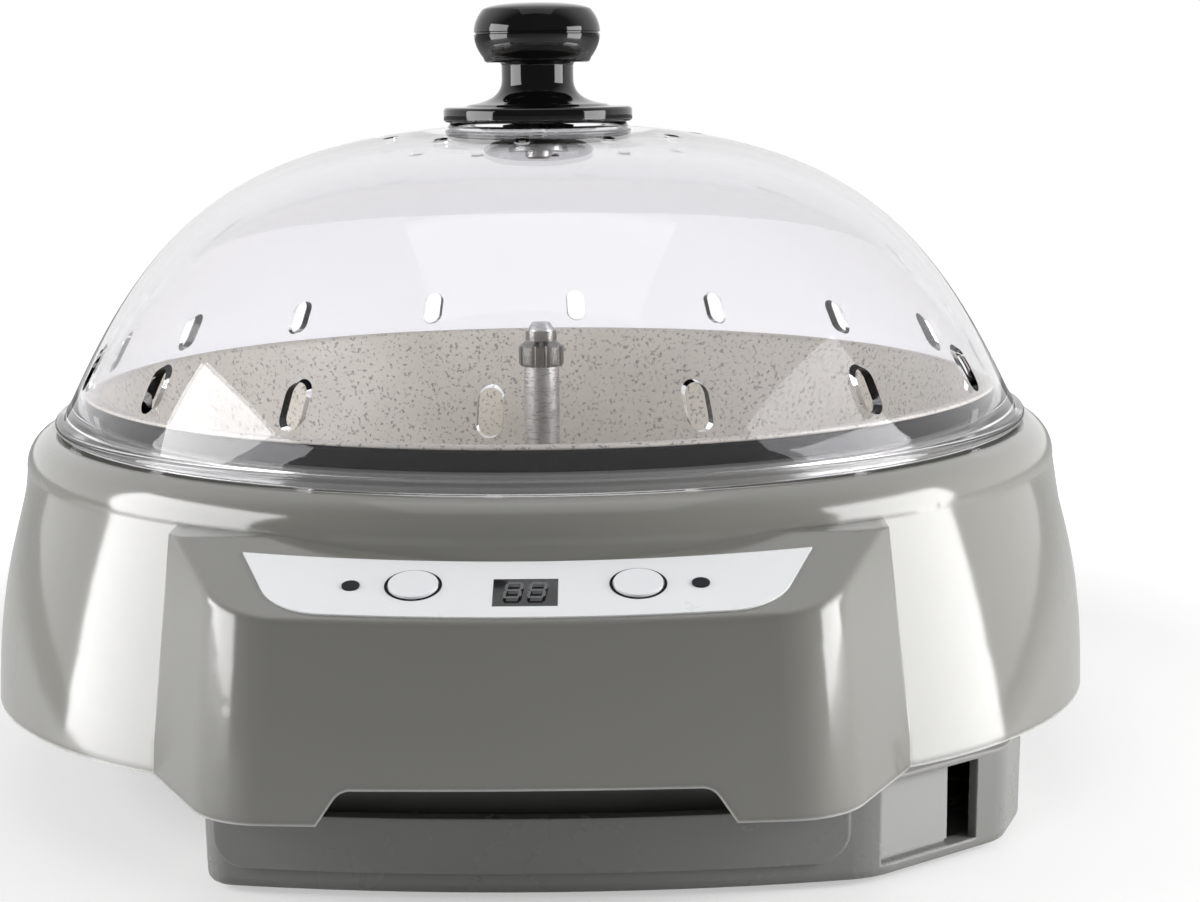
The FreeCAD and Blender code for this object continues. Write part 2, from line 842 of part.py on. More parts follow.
def make_drive():
    shaft = S["shaft_radius"]
    joint = S["bracket_height"] + 8.4
    rod = make_body("drive_shaft")
    length = S["shaft_top"] - joint
    profile = [(0, 0), (shaft, 0), (shaft, length - 2), (shaft - 1.2, length), (0, length)]
    revolve(rod, "shaft_turning", profile)
    finish_part(rod, "drive_shaft", z=joint)

    output = make_body("motor_shaft")
    depth = BRACKET_UNDER - S["motor_bottom"] - 8
    rise = joint - BRACKET_UNDER
    revolve(output, "output_turning", [(0, -depth), (shaft, -depth), (shaft, rise), (0, rise)])
    finish_part(output, "motor_shaft", z=BRACKET_UNDER)

    coupling = make_body("shaft_coupling")
    wide = S["coupling_radius"]
    half = 6.5
    sleeve = [(shaft, -half), (wide - 1, -half), (wide, 1 - half), (wide, half - 1), (wide - 1, half), (shaft, half)]
    revolve(coupling, "coupling_turning", sleeve)
    finish_part(coupling, "shaft_coupling", z=joint)

    motor = make_body("gear_motor")
    tall = BRACKET_UNDER - S["motor_bottom"]
    can = S["motor_radius"]
    bore = shaft + S["running_gap"]
    can_outline = [
        (0, 0),
        (can - 2, 0),
        (can, 2),
        (can, tall - 9),
        (can + 3, tall - 9),
        (can + 3, tall),
        (bore, tall),
        (bore, tall - depth - 0.5),
        (0, tall - depth - 0.5),
    ]
    revolve(motor, "motor_can", can_outline)
    finish_part(motor, "gear_motor", z=S["motor_bottom"])


def bracket_screw_places():
    """Centres of the screws through the two feet of the motor bridge."""
    x = S["bracket_half_length"] + BRACKET_FOOT / 2
    y = S["bracket_width"] / 4
    return [(-x, -y), (-x, y), (x, -y), (x, y)]


def make_bracket():
    body = make_body("motor_bracket")
    half = S["bracket_half_length"]
    thin = S["bracket_sheet"]
    top = S["bracket_height"] - S["base_floor"]
    foot = BRACKET_FOOT
    corners = [
        (-half - foot, 0),
        (-half + thin, 0),
        (-half + thin, top - thin),
        (half - thin, top - thin),
        (half - thin, 0),
        (half + foot, 0),
        (half + foot, thin),
        (half, thin),
        (half, top),
        (-half, top),
        (-half, thin),
        (-half - foot, thin),
    ]
    sketch = make_sketch(body, "bridge_outline", "XZ_Plane")
    draw_outline(sketch, corners)
    pad(body, "bridge", sketch, S["bracket_width"], midplane=True)
    hole = make_sketch(body, "shaft_hole_outline", "XY_Plane", top - thin - 1)
    draw_circle(hole, 0, 0, S["shaft_radius"] + 4)
    pad(body, "shaft_hole", hole, thin + 2, reverse=True, kind="Pocket")
    screws = make_sketch(body, "screw_hole_outline", "XY_Plane")
    for x, y in bracket_screw_places():
        draw_circle(screws, x, y, SCREW_HOLE)
    pad(body, "screw_holes", screws, thin + 1, reverse=True, kind="Pocket")
    finish_part(body, "motor_bracket", z=S["base_floor"])

    items = []
    for x, y in bracket_screw_places():
        shank = cylinder("bracket_shank", S["knob_screw_radius"], thin + 1.5, x, y, -1.5)
        head = cylinder("bracket_head", 3.8, 2.2, x, y, thin)
        items.append(fuse("bracket_screw", [shank, head]))
    finish_part(group("bracket_screws", items), "bracket_screws", z=S["base_floor"])


# Upper shell


def plan_section(body, name, reach, diagonal, height):
    """Eight arcs: four shallow sides and four corners that meet them smoothly."""
    sketch = make_sketch(body, name, "XY_Plane", height)
    reach = float(reach)
    extra = float(diagonal) - reach
    back = S["rim_side_radius"].value - reach
    shift = (2 * extra * back - extra ** 2) / ((2 - math.sqrt(2)) * back - 2 * extra)
    corner_radius = float(diagonal) - shift
    centre = shift / math.sqrt(2)
    swing = math.atan2(centre, centre + back)
    if extra < 0.01:
        swing = math.radians(4.0)
    joint = Vector(S["rim_side_radius"].value * math.sin(swing), 0, 0)
    joint.y = S["rim_side_radius"].value * math.cos(swing) - back
    if extra < 0.01:
        angle = math.radians(16.0)
        joint = Vector(reach * math.sin(angle), reach * math.cos(angle), 0)
    far = centre + corner_radius / math.sqrt(2)
    spots = []
    for quarter in range(4):
        turn = Rotation(Z_AXIS, -90 * quarter)
        left = turn.multVec(Vector(-joint.x, joint.y, 0))
        right = turn.multVec(joint)
        following = turn.multVec(Vector(joint.y, joint.x, 0))
        sketch.addGeometry(Part.Arc(left, turn.multVec(Vector(0, reach, 0)), right), False)
        sketch.addGeometry(Part.Arc(right, turn.multVec(Vector(far, far, 0)), following), False)
        spots += [left, right]
    close_loop(sketch, spots)
    return sketch


def bay_outline(inset):
    """Plan of the front bay at the rim: splayed sides and a slightly bowed front."""
    front = BAY_REACH - S["bay_bow"] - inset
    corner = S["bay_corner_x"] - inset
    root_x = S["bay_root_x"] - inset * 1.2
    root_y = S["bay_root_y"]
    corners = [
        (-root_x, -root_y + 40),
        (-root_x, -root_y),
        (-corner, -front),
        (corner, -front),
        (root_x, -root_y),
        (root_x, -root_y + 40),
    ]
    return corners


def deck_edge_names(feature):
    """The front, corner and side edges of the sloping deck, without the edge that the round wall hides."""
    doc.recompute()
    slope = float(S["deck_slope"])
    normal = Rotation(X_AXIS, slope).multVec(Z_AXIS)
    hidden = -S["bay_root_y"].value + 30
    names = []
    for face in feature.Shape.Faces:
        if face.Surface.TypeId != "Part::GeomPlane" or (face.normalAt(0, 0) - normal).Length > 0.001:
            continue
        for edge in face.Edges:
            if all(vertex.Point.y > hidden for vertex in edge.Vertexes):
                continue
            numbers = [n for n, other in enumerate(feature.Shape.Edges, start=1) if other.isSame(edge)]
            names.append(f"Edge{numbers[0]}")
    return names


def make_housing_form(name, inset):
    """The outer form of the housing, or with an inset the hollow inside it."""
    body = make_body(name)
    rim = S["rim_height"] - (1.0 if inset else 0.0)
    outline = make_sketch(body, "bay_plan", "XY_Plane", rim)
    corners = bay_outline(inset)
    draw_outline(outline, corners, {2: (0, -S["bay_bow"].value)})
    bay = pad(body, "bay", outline, S["deck_height"] - S["rim_height"] + 4, draft=-S["bay_draft"])
    slope = tangent(S["deck_slope"])
    deck = S["deck_height"] - inset / cosine(S["deck_slope"])
    near = DECK_START - 60
    far = BAY_REACH + 10
    side = make_sketch(body, "deck_side_view", "YZ_Plane")
    cut_profile = [
        (-near, deck + (DECK_START - near) * slope),
        (-far, deck - (far - DECK_START) * slope),
        (-far, S["deck_height"] + 40),
        (-near, S["deck_height"] + 40),
    ]
    draw_outline(side, cut_profile)
    sloped = pad(body, "deck_slope", side, 260, midplane=True, kind="Pocket")
    radius = S["bay_corner_radius"] - inset
    edges = upright_edges(sloped, [corners[2], corners[3]])
    rounded = fillet(body, "bay_corners", sloped, edges, radius)
    if not inset:
        fillet(body, "deck_edges", rounded, deck_edge_names(rounded), S["deck_edge_radius"])
    sections = [
        plan_section(body, "rim_plan", S["rim_reach"] - inset, S["rim_diagonal"] - inset, rim),
        plan_section(body, "waist_plan", S["waist_reach"] - inset, S["waist_diagonal"] - inset, S["waist_height"]),
        plan_section(body, "shoulder_plan", S["shoulder_radius"] - inset, S["shoulder_radius"] - inset,
                     S["shoulder_height"]),
    ]
    walls = body.newObject("PartDesign::AdditiveLoft", "walls")
    walls.Profile = sections[0]
    walls.Sections = sections[1:]
    walls.Ruled = False
    low = S["shoulder_height"]
    wide = S["shoulder_radius"] - inset
    if inset:
        under = S["seat_height"] - S["seat_wall"]
        cap = [(0, low), (wide, low), (S["seat_radius"] - inset, under), (0, under)]
        revolve(body, "shoulder", cap, {1: (1.0, 0.8)})
    else:
        cap = [
            (0, low),
            (wide, low),
            (S["seat_radius"], S["seat_height"]),
            (S["collar_outer"], S["seat_height"]),
            (S["collar_outer"], COLLAR_HEIGHT),
            (0, COLLAR_HEIGHT),
        ]
        revolve(body, "shoulder", cap, {1: (1.9, 1.4)})
    return body


DECK_TILT = Rotation(X_AXIS, float(S["deck_slope"]))


def on_deck(x, down, z=0.0):
    """A point on the deck plane: down the slope from its top, z out of the plane."""
    return DECK_TILT.multVec(point(x, -float(down), z)) + point(0, DECK_Y, S["deck_height"])


def deck_cylinder(name, radius, low, high, x, down):
    return cylinder(name, radius, high - low, *on_deck(x, down, low), tilt=DECK_TILT)


def deck_box(name, length, width, low, high, x, down):
    item = doc.addObject("Part::Box", name)
    for field, size in (("Length", length), ("Width", width), ("Height", high - low)):
        setattr(item, field, float(size))
        bind(item, field, size)
    corner = on_deck(float(x) - float(length) / 2, float(down) + float(width) / 2, low)
    item.Placement = FreeCAD.Placement(corner, DECK_TILT)
    return item


def panel_body(name, inset, low, thick):
    """A plate in the outline of the control panel, lying in the deck."""
    body = make_body(name)
    half = S["panel_half_width"] - inset
    top = S["panel_top"] - inset
    drop = S["panel_drop"] - inset
    sketch = make_sketch(body, "panel_outline", "XY_Plane", low)
    side = half - S["panel_side_lean"]
    middle = S["panel_side_drop"]
    lower = half - S["panel_corner_run"]
    bow = S["panel_bottom_bow"]
    corners = [(-half, top), (-side, -middle), (-lower, -drop + bow), (lower, -drop + bow), (side, -middle),
               (half, top)]
    bows = {1: (-1.68, -2.22), 2: (0, -bow.value), 3: (1.68, -2.22), 5: (0, -S["panel_top_dip"].value)}
    draw_outline(sketch, corners, bows)
    pad(body, "panel_plate", sketch, thick)
    return body


def deck_place(item, label):
    """Seat a part that is drawn in the deck's own frame."""
    item.Label = label
    spot = on_deck(0, 0) + point(0, AXIS_SHIFT, LIFT)
    item.Placement = FreeCAD.Placement(spot, DECK_TILT)
    bind(item, "Placement.Base.y", DECK_Y + AXIS_SHIFT)
    bind(item, "Placement.Base.z", S["deck_height"] + LIFT)
    PARTS.append(item)


POST_ANGLES = (-120.5, -44.7, 132.5, 47.5)


def post_places():
    """Centres of the four posts that the base screws run into, on a ring under the seat."""
    ring = POST_RING.value
    angles = [math.radians(angle) for angle in POST_ANGLES]
    return [(ring * math.cos(angle), ring * math.sin(angle)) for angle in angles]


def make_upper_shell():
    form = make_housing_form("shell_form", 0.0)
    core = make_housing_form("shell_core", S["shell_wall"])
    hollow = cut("shell_hollow", form, [core])
    post_top = S["seat_height"] - S["seat_wall"] - S["reflector_sheet"] - 0.5
    posts = [cylinder("post", POST_RADIUS, post_top - S["rim_height"], x, y, S["rim_height"]) for x, y in post_places()]
    bosses = [deck_cylinder("board_boss", 3.0, -S["board_depth"].value, -1.5, x, down)
              for x in (-BOARD_SCREW_SPREAD, BOARD_SCREW_SPREAD) for down in BOARD_SCREW_ROWS]
    solid = fuse("shell_solid", [hollow] + posts + bosses)
    recess = panel_body("panel_recess", -0.15, -S["panel_recess"], 8)
    recess.Placement = FreeCAD.Placement(on_deck(0, 0), DECK_TILT)
    tools = [recess]
    tools.append(cylinder("chamber_opening", S["collar_inner"], 40, z=S["seat_height"] - 20))
    row = S["control_row"]
    for side in (-1, 1):
        spread = side * S["button_spacing"]
        tools.append(deck_cylinder("button_hole", S["button_radius"] + S["button_gap"], -9.0, 4.0, spread, row))
        lamp = side * S["led_spacing"]
        tools.append(deck_cylinder("lamp_hole", S["led_radius"], -9.0, 4.0, lamp, row))
    tools.append(deck_box("display_hole", S["display_width"] - 1, S["display_height"] - 1, -9.0, 4.0, 0,
                          S["display_row"]))
    for x, y in post_places():
        tools.append(cylinder("post_bore", 1.9, 16, x, y, S["rim_height"] - 1))
    for x in (-BOARD_SCREW_SPREAD, BOARD_SCREW_SPREAD):
        for down in BOARD_SCREW_ROWS:
            tools.append(deck_cylinder("boss_bore", 1.1, -S["board_depth"].value - 1, -3.6, x, down))
    inlet = make_body("inlet_form")
    sketch = make_sketch(inlet, "inlet_outline", "XZ_Plane", BAY_REACH - 12)
    low = S["rim_height"] - 2
    corners = [
        (-S["inlet_half_width"], low),
        (S["inlet_half_width"], low),
        (S["inlet_top_half_width"], S["inlet_height"]),
        (-S["inlet_top_half_width"], S["inlet_height"]),
    ]
    draw_outline(sketch, corners)
    block = pad(inlet, "inlet_block", sketch, 20)
    doc.recompute()
    upper = []
    for number, edge in enumerate(block.Shape.Edges, start=1):
        ends = [vertex.Point for vertex in edge.Vertexes]
        at_top = all(abs(end.z - S["inlet_height"].value) < 0.01 for end in ends)
        if at_top and abs(ends[0].y - ends[1].y) > 1:
            upper.append(f"Edge{number}")
    fillet(inlet, "inlet_corners", block, upper, S["inlet_corner_radius"])
    tools.append(inlet)
    shell = cut("upper_shell", solid, tools)
    finish_part(shell, "upper_shell")


# Base tray


BASE_FRONT = BAY_REACH - S["base_front_setback"]
BASE_LEFT = (-S["bay_corner_x"] - S["base_left_spread"], -BASE_FRONT + S["base_front_bow"])
BASE_RIGHT = (S["bay_corner_x"] + S["base_right_spread"], -BASE_FRONT + S["base_front_bow"])
BASE_END = (POST_RING - S["base_end_inset"], BASE_RIGHT[1] + S["base_end_rise"])
BASE_SIDE = (POST_RING - S["base_side_inset"], BASE_END[1] + S["base_end_length"])
BASE_BACK = POST_RING - S["base_back_inset"]
BASE_BACK_X = POST_RING - S["base_back_corner_inset"]


def base_corners(inset):
    """Plan of the base: bowed front, a diagonal face at the right front, a rounded back."""
    return [
        (BASE_LEFT[0] + inset, BASE_LEFT[1] + inset),
        (BASE_RIGHT[0] - inset * 0.5, BASE_RIGHT[1] + inset),
        (BASE_END[0] - inset * 0.9, BASE_END[1] + inset * 0.8),
        (BASE_SIDE[0] - inset, BASE_SIDE[1] + inset * 0.3),
        (BASE_SIDE[0] - inset, BASE_BACK - inset),
        (-BASE_BACK_X + inset, BASE_BACK - inset),
    ]


def make_base_form(name, inset, low, high, soft_under=False):
    body = make_body(name)
    sketch = make_sketch(body, "base_plan", "XY_Plane", low)
    corners = base_corners(inset)
    draw_outline(sketch, corners, {0: (0, -S["base_front_bow"].value)})
    shape = pad(body, "base_block", sketch, high - low, draft=S["base_draft"])
    radii = [
        ("left_edge", (0,), S["base_left_radius"]),
        ("right_edge", (1,), S["base_right_radius"]),
        ("end_edges", (2, 3), S["base_end_radius"]),
        ("back_edges", (4, 5), S["base_back_radius"] - inset),
    ]
    for label, numbers, radius in radii:
        edges = upright_edges(shape, [corners[number] for number in numbers])
        shape = fillet(body, label, shape, edges, radius)
    if soft_under:
        doc.recompute()
        under = []
        for number, edge in enumerate(shape.Shape.Edges, start=1):
            if all(abs(vertex.Point.z - float(low)) < 0.01 for vertex in edge.Vertexes):
                under.append(f"Edge{number}")
        fillet(body, "under_edge", shape, under, S["base_under_radius"])
    return body


def make_front_pad():
    """The raised field on the front of the base, with rounded lower corners."""
    grown = make_base_form("front_field", -S["front_pad_proud"], S["front_pad_bottom"] - 1, S["rim_height"])
    view = make_body("front_view")
    sketch = make_sketch(view, "field_outline", "XZ_Plane", BASE_FRONT - 30)
    half = S["front_pad_half_width"]
    low = S["front_pad_bottom"]
    corner = S["front_pad_corner"]
    high = S["rim_height"]
    corners = [(-half, high), (-half, low + corner), (-half + corner, low), (half - corner, low),
               (half, low + corner), (half, high)]
    bulge = -corner.value * 0.2071
    draw_outline(sketch, corners, {1: (bulge, bulge), 3: (-bulge, bulge)})
    pad(view, "field_block", sketch, 60)
    field = doc.addObject("Part::Common", "front_pad")
    field.Base = grown
    field.Tool = view
    return field


def wall_frame(along, out, height):
    """A point beside the diagonal wall: along it from the front corner, out of it, at a height."""
    start = point(*BASE_RIGHT)
    end = point(*BASE_END)
    direction = (end - start).normalize()
    normal = Vector(direction.y, -direction.x, 0)
    return start + direction * float(along) + normal * float(out) + Vector(0, 0, float(height))


def wall_turn():
    start = wall_frame(0, 0, 0)
    end = wall_frame(1, 0, 0)
    return Rotation(Z_AXIS, math.degrees(math.atan2(end.y - start.y, end.x - start.x)))


def wall_block(name, start, end, back, front, low, high):
    """A block set square to the diagonal wall; back and front are depths out of it."""
    item = doc.addObject("Part::Box", name)
    item.Length = float(end) - float(start)
    item.Width = float(front) - float(back)
    item.Height = float(high) - float(low)
    item.Placement = FreeCAD.Placement(wall_frame(start, front, low), wall_turn())
    return item


def make_base_flange(core):
    """Flat flange round the tray that closes the underside of the housing, open at the front bay."""
    body = make_body("flange_form")
    gap = S["shell_wall"] + 0.5
    outline = plan_section(body, "flange_plan", S["rim_reach"] - gap, S["rim_diagonal"] - gap, S["rim_height"])
    pad(body, "flange_plate", outline, S["flange_thick"])
    bay_gap = box("bay_gap", 2 * S["bay_corner_x"], 100, 10, 0, -BASE_FRONT - 35, S["rim_height"] - 2)
    clear = [cylinder("post_gap", POST_RADIUS + 0.4, 10, x, y, S["rim_height"] - 2) for x, y in post_places()]
    return cut("flange", body, [core, bay_gap] + clear)


def foot_places():
    left = BASE_LEFT[0] + 18
    return [
        (float(left), float(BASE_LEFT[1] + 18)),
        (float(BASE_RIGHT[0] - 4), float(BASE_RIGHT[1] + 26)),
        (float(-BASE_BACK_X + 52), float(BASE_BACK - 26)),
        (float(BASE_BACK_X - 52), float(BASE_BACK - 26)),
    ]


def make_base():
    wall = S["base_wall"]
    floor = S["base_floor"]
    top = S["rim_height"]
    outer = make_base_form("base_outer", Size(0.0, "0"), Size(0.0, "0"), top, soft_under=True)
    core = make_base_form("base_core", wall, floor, top + 4)
    front_gap = box("front_top_gap", 110, 40, 12, 0, -BASE_FRONT, S["base_front_top"])
    window = wall_block("window_gap", S["window_start"], S["window_end"], -9, 9, S["window_sill"], S["window_top"])
    walls = fuse("base_walls", [outer, make_front_pad()])
    hollow = cut("base_hollow", walls, [core, front_gap, window])
    posts = [cylinder("base_post", POST_RADIUS, top - 1, x, y, 1.0) for x, y in post_places()]
    start = S["window_start"]
    track = wall_block("window_track", start - 3, S["window_end"] + 3, -5.5, -2.0, floor - 0.5, S["window_sill"])
    baffle = box("inlet_baffle", 2 * S["inlet_half_width"] + 16, 2, S["inlet_height"] + 3 - floor, 0,
                 -BASE_FRONT + 12, floor - 0.5)
    jamb = wall_block("window_jamb", start - 3, start, -5.5, -2.0, floor - 0.5, top)
    solid = fuse("base_solid", [hollow, make_base_flange(core), track, jamb, baffle] + posts)
    bores = []
    for x, y in post_places():
        bores.append(cylinder("base_bore", SCREW_HOLE, top + 2, x, y, -1))
        bores.append(cylinder("base_counterbore", 4.6, 16, x, y, -1))
    for x, y in bracket_screw_places():
        bores.append(cylinder("bracket_bore", S["knob_screw_radius"] + 0.02, 3, x, y, floor - 1.7))
    gland = cylinder("gland_hole", 6.0, 12, GLAND_ACROSS, BASE_BACK + 4, GLAND_HEIGHT, tilt=Rotation(X_AXIS, 90))
    tray = cut("base_tray", solid, bores + [gland])
    finish_part(tray, "base_tray")

    setback = -S["vent_panel_setback"]
    thick = S["vent_panel_thick"]
    end = S["vent_panel_end"]
    sill = S["window_sill"]
    lift = S["vent_panel_lift"]
    plate = wall_block("vent_plate", start, end, setback - thick, setback, sill + lift, S["window_top"])
    tongue = wall_block("vent_tongue", start, end, setback - thick, setback - thick / 2, sill, sill + lift + 1)
    finish_part(fuse("side_vent_panel", [plate, tongue]), "side_vent_panel")

    screws = []
    for x, y in post_places():
        head = cylinder("base_screw_head", 3.9, 2.6, x, y, 12.4)
        shank = cylinder("base_screw_shank", 1.9, top + 12 - 15, x, y, 15)
        screws.append(fuse("base_screw", [head, shank]))
    finish_part(group("base_screws", screws), "base_screws")

    feet = []
    for x, y in foot_places():
        feet.append(cylinder("foot", S["foot_radius"], S["foot_lift"], x, y, -S["foot_lift"]))
    finish_part(group("rubber_feet", feet), "rubber_feet")

    collar = make_body("cord_gland")
    revolve(collar, "gland_turning", [(3.6, -6), (6, -6), (6, 0), (9, 0), (7.5, 7), (3.6, 9)])
    finish_part(collar, "cord_gland", x=GLAND_ACROSS, y=BASE_BACK + GLAND_SEAT, z=GLAND_HEIGHT, turn=-90, about=X_AXIS)


# Controls


def make_controls():
    row = S["control_row"]
    recess = -S["panel_recess"]
    panel = panel_body("control_panel", 0.0, recess, S["panel_thick"])
    holes = make_sketch(panel, "control_holes", "XY_Plane", recess - 1)
    for side in (-1, 1):
        draw_circle(holes, side * S["button_spacing"], -row, S["button_radius"] + S["button_gap"])
        draw_circle(holes, side * S["led_spacing"], -row, S["led_radius"])
    pad(panel, "control_openings", holes, 6, reverse=True, kind="Pocket")
    window = make_sketch(panel, "display_outline", "XY_Plane", recess - 1)
    wide = S["display_width"] / 2
    tall = S["display_height"] / 2
    low = -S["display_row"]
    draw_outline(window, [(-wide, low - tall), (wide, low - tall), (wide, low + tall), (-wide, low + tall)])
    pad(panel, "display_opening", window, 6, reverse=True, kind="Pocket")
    deck_place(panel, "control_panel")

    lens = make_body("display_window")
    sketch = make_sketch(lens, "lens_outline", "XY_Plane", recess)
    draw_outline(sketch, [(-wide, low - tall), (wide, low - tall), (wide, low + tall), (-wide, low + tall)])
    pad(lens, "lens", sketch, S["panel_thick"])
    deck_place(lens, "display_window")

    module = make_body("display_module")
    narrow = wide - 0.5
    short = tall - 0.5
    board_top = -S["board_depth"]
    block = make_sketch(module, "module_outline", "XY_Plane", board_top)
    draw_outline(block, [(-narrow, low - short), (narrow, low - short), (narrow, low + short),
                         (-narrow, low + short)])
    pad(module, "module_block", block, S["board_depth"] - S["panel_recess"])
    deck_place(module, "display_module")

    names = {-1: "on_off_button", 1: "timer_button"}
    for side, name in names.items():
        button = make_body(name)
        centre = side * S["button_spacing"]
        flange = make_sketch(button, "flange_outline", "XY_Plane", BUTTON_FLANGE_TOP - BUTTON_FLANGE_THICK)
        draw_circle(flange, centre, -row, S["button_radius"] + 1.4)
        pad(button, "flange", flange, BUTTON_FLANGE_THICK)
        cap = make_sketch(button, "cap_outline", "XY_Plane", BUTTON_FLANGE_TOP - BUTTON_FLANGE_THICK)
        draw_circle(cap, centre, -row, S["button_radius"])
        pad(button, "cap", cap, S["button_proud"] - BUTTON_FLANGE_TOP + BUTTON_FLANGE_THICK)
        deck_place(button, name)

    lamps = {-1: "power_led", 1: "working_led"}
    for side, name in lamps.items():
        lamp = make_body(name)
        sketch = make_sketch(lamp, "lamp_outline", "XY_Plane", board_top)
        draw_circle(sketch, side * S["led_spacing"], -row, S["led_radius"])
        pad(lamp, "lamp_body", sketch, S["board_depth"] + 0.7)
        deck_place(lamp, name)

    board = make_body("control_board")
    half = S["board_half_length"]
    side = S["board_width"] / 2
    slab = make_sketch(board, "board_outline", "XY_Plane", board_top - S["board_thick"])
    low = -BOARD_MIDDLE - side
    high = -BOARD_MIDDLE + side
    draw_outline(slab, [(-half, low), (half, low), (half, high), (-half, high)])
    pad(board, "board_slab", slab, S["board_thick"])
    switches = make_sketch(board, "switch_outline", "XY_Plane", board_top)
    for spread in (-1, 1):
        draw_circle(switches, spread * S["button_spacing"], -row, 3.0)
    rest = BUTTON_FLANGE_TOP - BUTTON_FLANGE_THICK - S["button_travel"] - SWITCH_GAP
    pad(board, "switches", switches, rest - board_top)
    holes = make_sketch(board, "board_holes", "XY_Plane", board_top - S["board_thick"] - 1)
    for x in (-BOARD_SCREW_SPREAD, BOARD_SCREW_SPREAD):
        for down in BOARD_SCREW_ROWS:
            draw_circle(holes, x, -down, 1.3)
    pad(board, "board_openings", holes, S["board_thick"] + 2, reverse=True, kind="Pocket")
    deck_place(board, "control_board")

    screws = []
    low = -S["board_depth"].value - S["board_thick"].value
    for x in (-BOARD_SCREW_SPREAD, BOARD_SCREW_SPREAD):
        for down in BOARD_SCREW_ROWS:
            head = deck_cylinder("board_screw_head", 2.4, low - 1.5, low, x, down)
            shank = deck_cylinder("board_screw_shank", 1.1, low - 0.5, low + 5, x, down)
            screws.append(fuse("board_screw", [head, shank]))
    finish_part(group("board_screws", screws), "board_screws")


make_dome_lid()
make_knob()
make_knob_fixings()
ring_tall = make_roasting_pan()
make_pan_clips(ring_tall)
make_bush_and_nut()
make_reflector()
make_heater()
make_safety_parts()
make_stirrer()
make_drive()
make_bracket()
make_upper_shell()
make_base()
make_controls()

doc.recompute()

failed = [item.Name for item in doc.Objects if "Invalid" in item.State or "Error" in item.State]
if failed:
    raise RuntimeError(f"These did not build: {failed}")
for item in PARTS:
    if item.Shape.isNull() or not item.Shape.isValid():
        raise RuntimeError(f"{item.Label} has no valid shape")

os.makedirs("parts", exist_ok=True)
for item in PARTS:
    item.Shape.exportStep(f"parts/{item.Label}.step")
    print(item.Label, len(item.Shape.Solids), round(item.Shape.Volume, 1))
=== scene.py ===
import bmesh
import bpy
import json
import math
from mathutils import Matrix, Vector


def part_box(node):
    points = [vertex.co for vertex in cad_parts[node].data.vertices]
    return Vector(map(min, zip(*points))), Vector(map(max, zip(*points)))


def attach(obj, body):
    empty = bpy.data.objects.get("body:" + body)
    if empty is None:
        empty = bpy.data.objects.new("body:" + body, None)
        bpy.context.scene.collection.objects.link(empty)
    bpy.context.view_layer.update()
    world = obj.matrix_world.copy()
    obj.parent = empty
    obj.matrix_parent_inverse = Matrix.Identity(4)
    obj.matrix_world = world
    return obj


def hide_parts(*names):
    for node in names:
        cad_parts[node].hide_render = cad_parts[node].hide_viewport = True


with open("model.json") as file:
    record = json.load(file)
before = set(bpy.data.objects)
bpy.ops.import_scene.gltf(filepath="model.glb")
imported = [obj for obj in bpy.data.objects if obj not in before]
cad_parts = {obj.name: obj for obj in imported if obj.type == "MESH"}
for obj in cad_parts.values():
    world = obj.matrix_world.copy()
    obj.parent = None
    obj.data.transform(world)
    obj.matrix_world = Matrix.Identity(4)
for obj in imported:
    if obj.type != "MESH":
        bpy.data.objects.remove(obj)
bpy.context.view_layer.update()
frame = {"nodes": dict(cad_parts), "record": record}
nodes = frame["nodes"]

MM = 0.001

# The roaster's upright axis in the frame, and the heights that its pieces stand at

UP = Vector((0, 0, 1))
pan_low, pan_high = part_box("roasting_pan")
AXIS = Vector(((pan_low.x + pan_high.x) / 2, (pan_low.y + pan_high.y) / 2, 0))
PAN_FOOT = pan_low.z
DOME_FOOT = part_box("dome_lid")[0].z
KNOB_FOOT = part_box("knob")[0].z
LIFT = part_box("base_tray")[0].z


# Node helpers


def new_material(name):
    """A material with its node tree and its main shader."""
    material = bpy.data.materials.new(name)
    material.use_nodes = True
    tree = material.node_tree
    shader = tree.nodes["Principled BSDF"]
    return material, tree, shader


def add(tree, kind, **settings):
    """A new node of a kind, with its settings."""
    node = tree.nodes.new(kind)
    for key, value in settings.items():
        setattr(node, key, value)
    return node


def object_coordinates(tree, scale=(1, 1, 1)):
    """Object coordinates, which for these pieces are metres in the frame."""
    source = add(tree, "ShaderNodeTexCoord")
    mapping = add(tree, "ShaderNodeMapping")
    mapping.inputs["Scale"].default_value = scale
    tree.links.new(source.outputs["Object"], mapping.inputs["Vector"])
    return mapping.outputs["Vector"]


def noise(tree, vector, scale, detail=4.0, roughness=0.55):
    """A cloudy value between 0 and 1."""
    node = add(tree, "ShaderNodeTexNoise")
    node.inputs["Scale"].default_value = scale
    node.inputs["Detail"].default_value = detail
    node.inputs["Roughness"].default_value = roughness
    tree.links.new(vector, node.inputs["Vector"])
    return node.outputs["Fac"]


def ramp(tree, value, stops):
    """Colours along a value, from pairs of a place and a colour."""
    node = add(tree, "ShaderNodeValToRGB")
    elements = node.color_ramp.elements
    while len(elements) < len(stops):
        elements.new(0.5)
    for element, (place, colour) in zip(elements, stops):
        element.position = place
        element.color = (*colour, 1)
    tree.links.new(value, node.inputs["Fac"])
    return node.outputs["Color"]


def level(tree, value, low, high, start=0.0, end=1.0):
    """Map a value from one range to another."""
    node = add(tree, "ShaderNodeMapRange")
    node.inputs["From Min"].default_value = start
    node.inputs["From Max"].default_value = end
    node.inputs["To Min"].default_value = low
    node.inputs["To Max"].default_value = high
    tree.links.new(value, node.inputs["Value"])
    return node.outputs["Result"]


def highest(tree, first, second):
    """The greater of two values."""
    node = add(tree, "ShaderNodeMath", operation="MAXIMUM")
    tree.links.new(first, node.inputs[0])
    tree.links.new(second, node.inputs[1])
    return node.outputs[0]


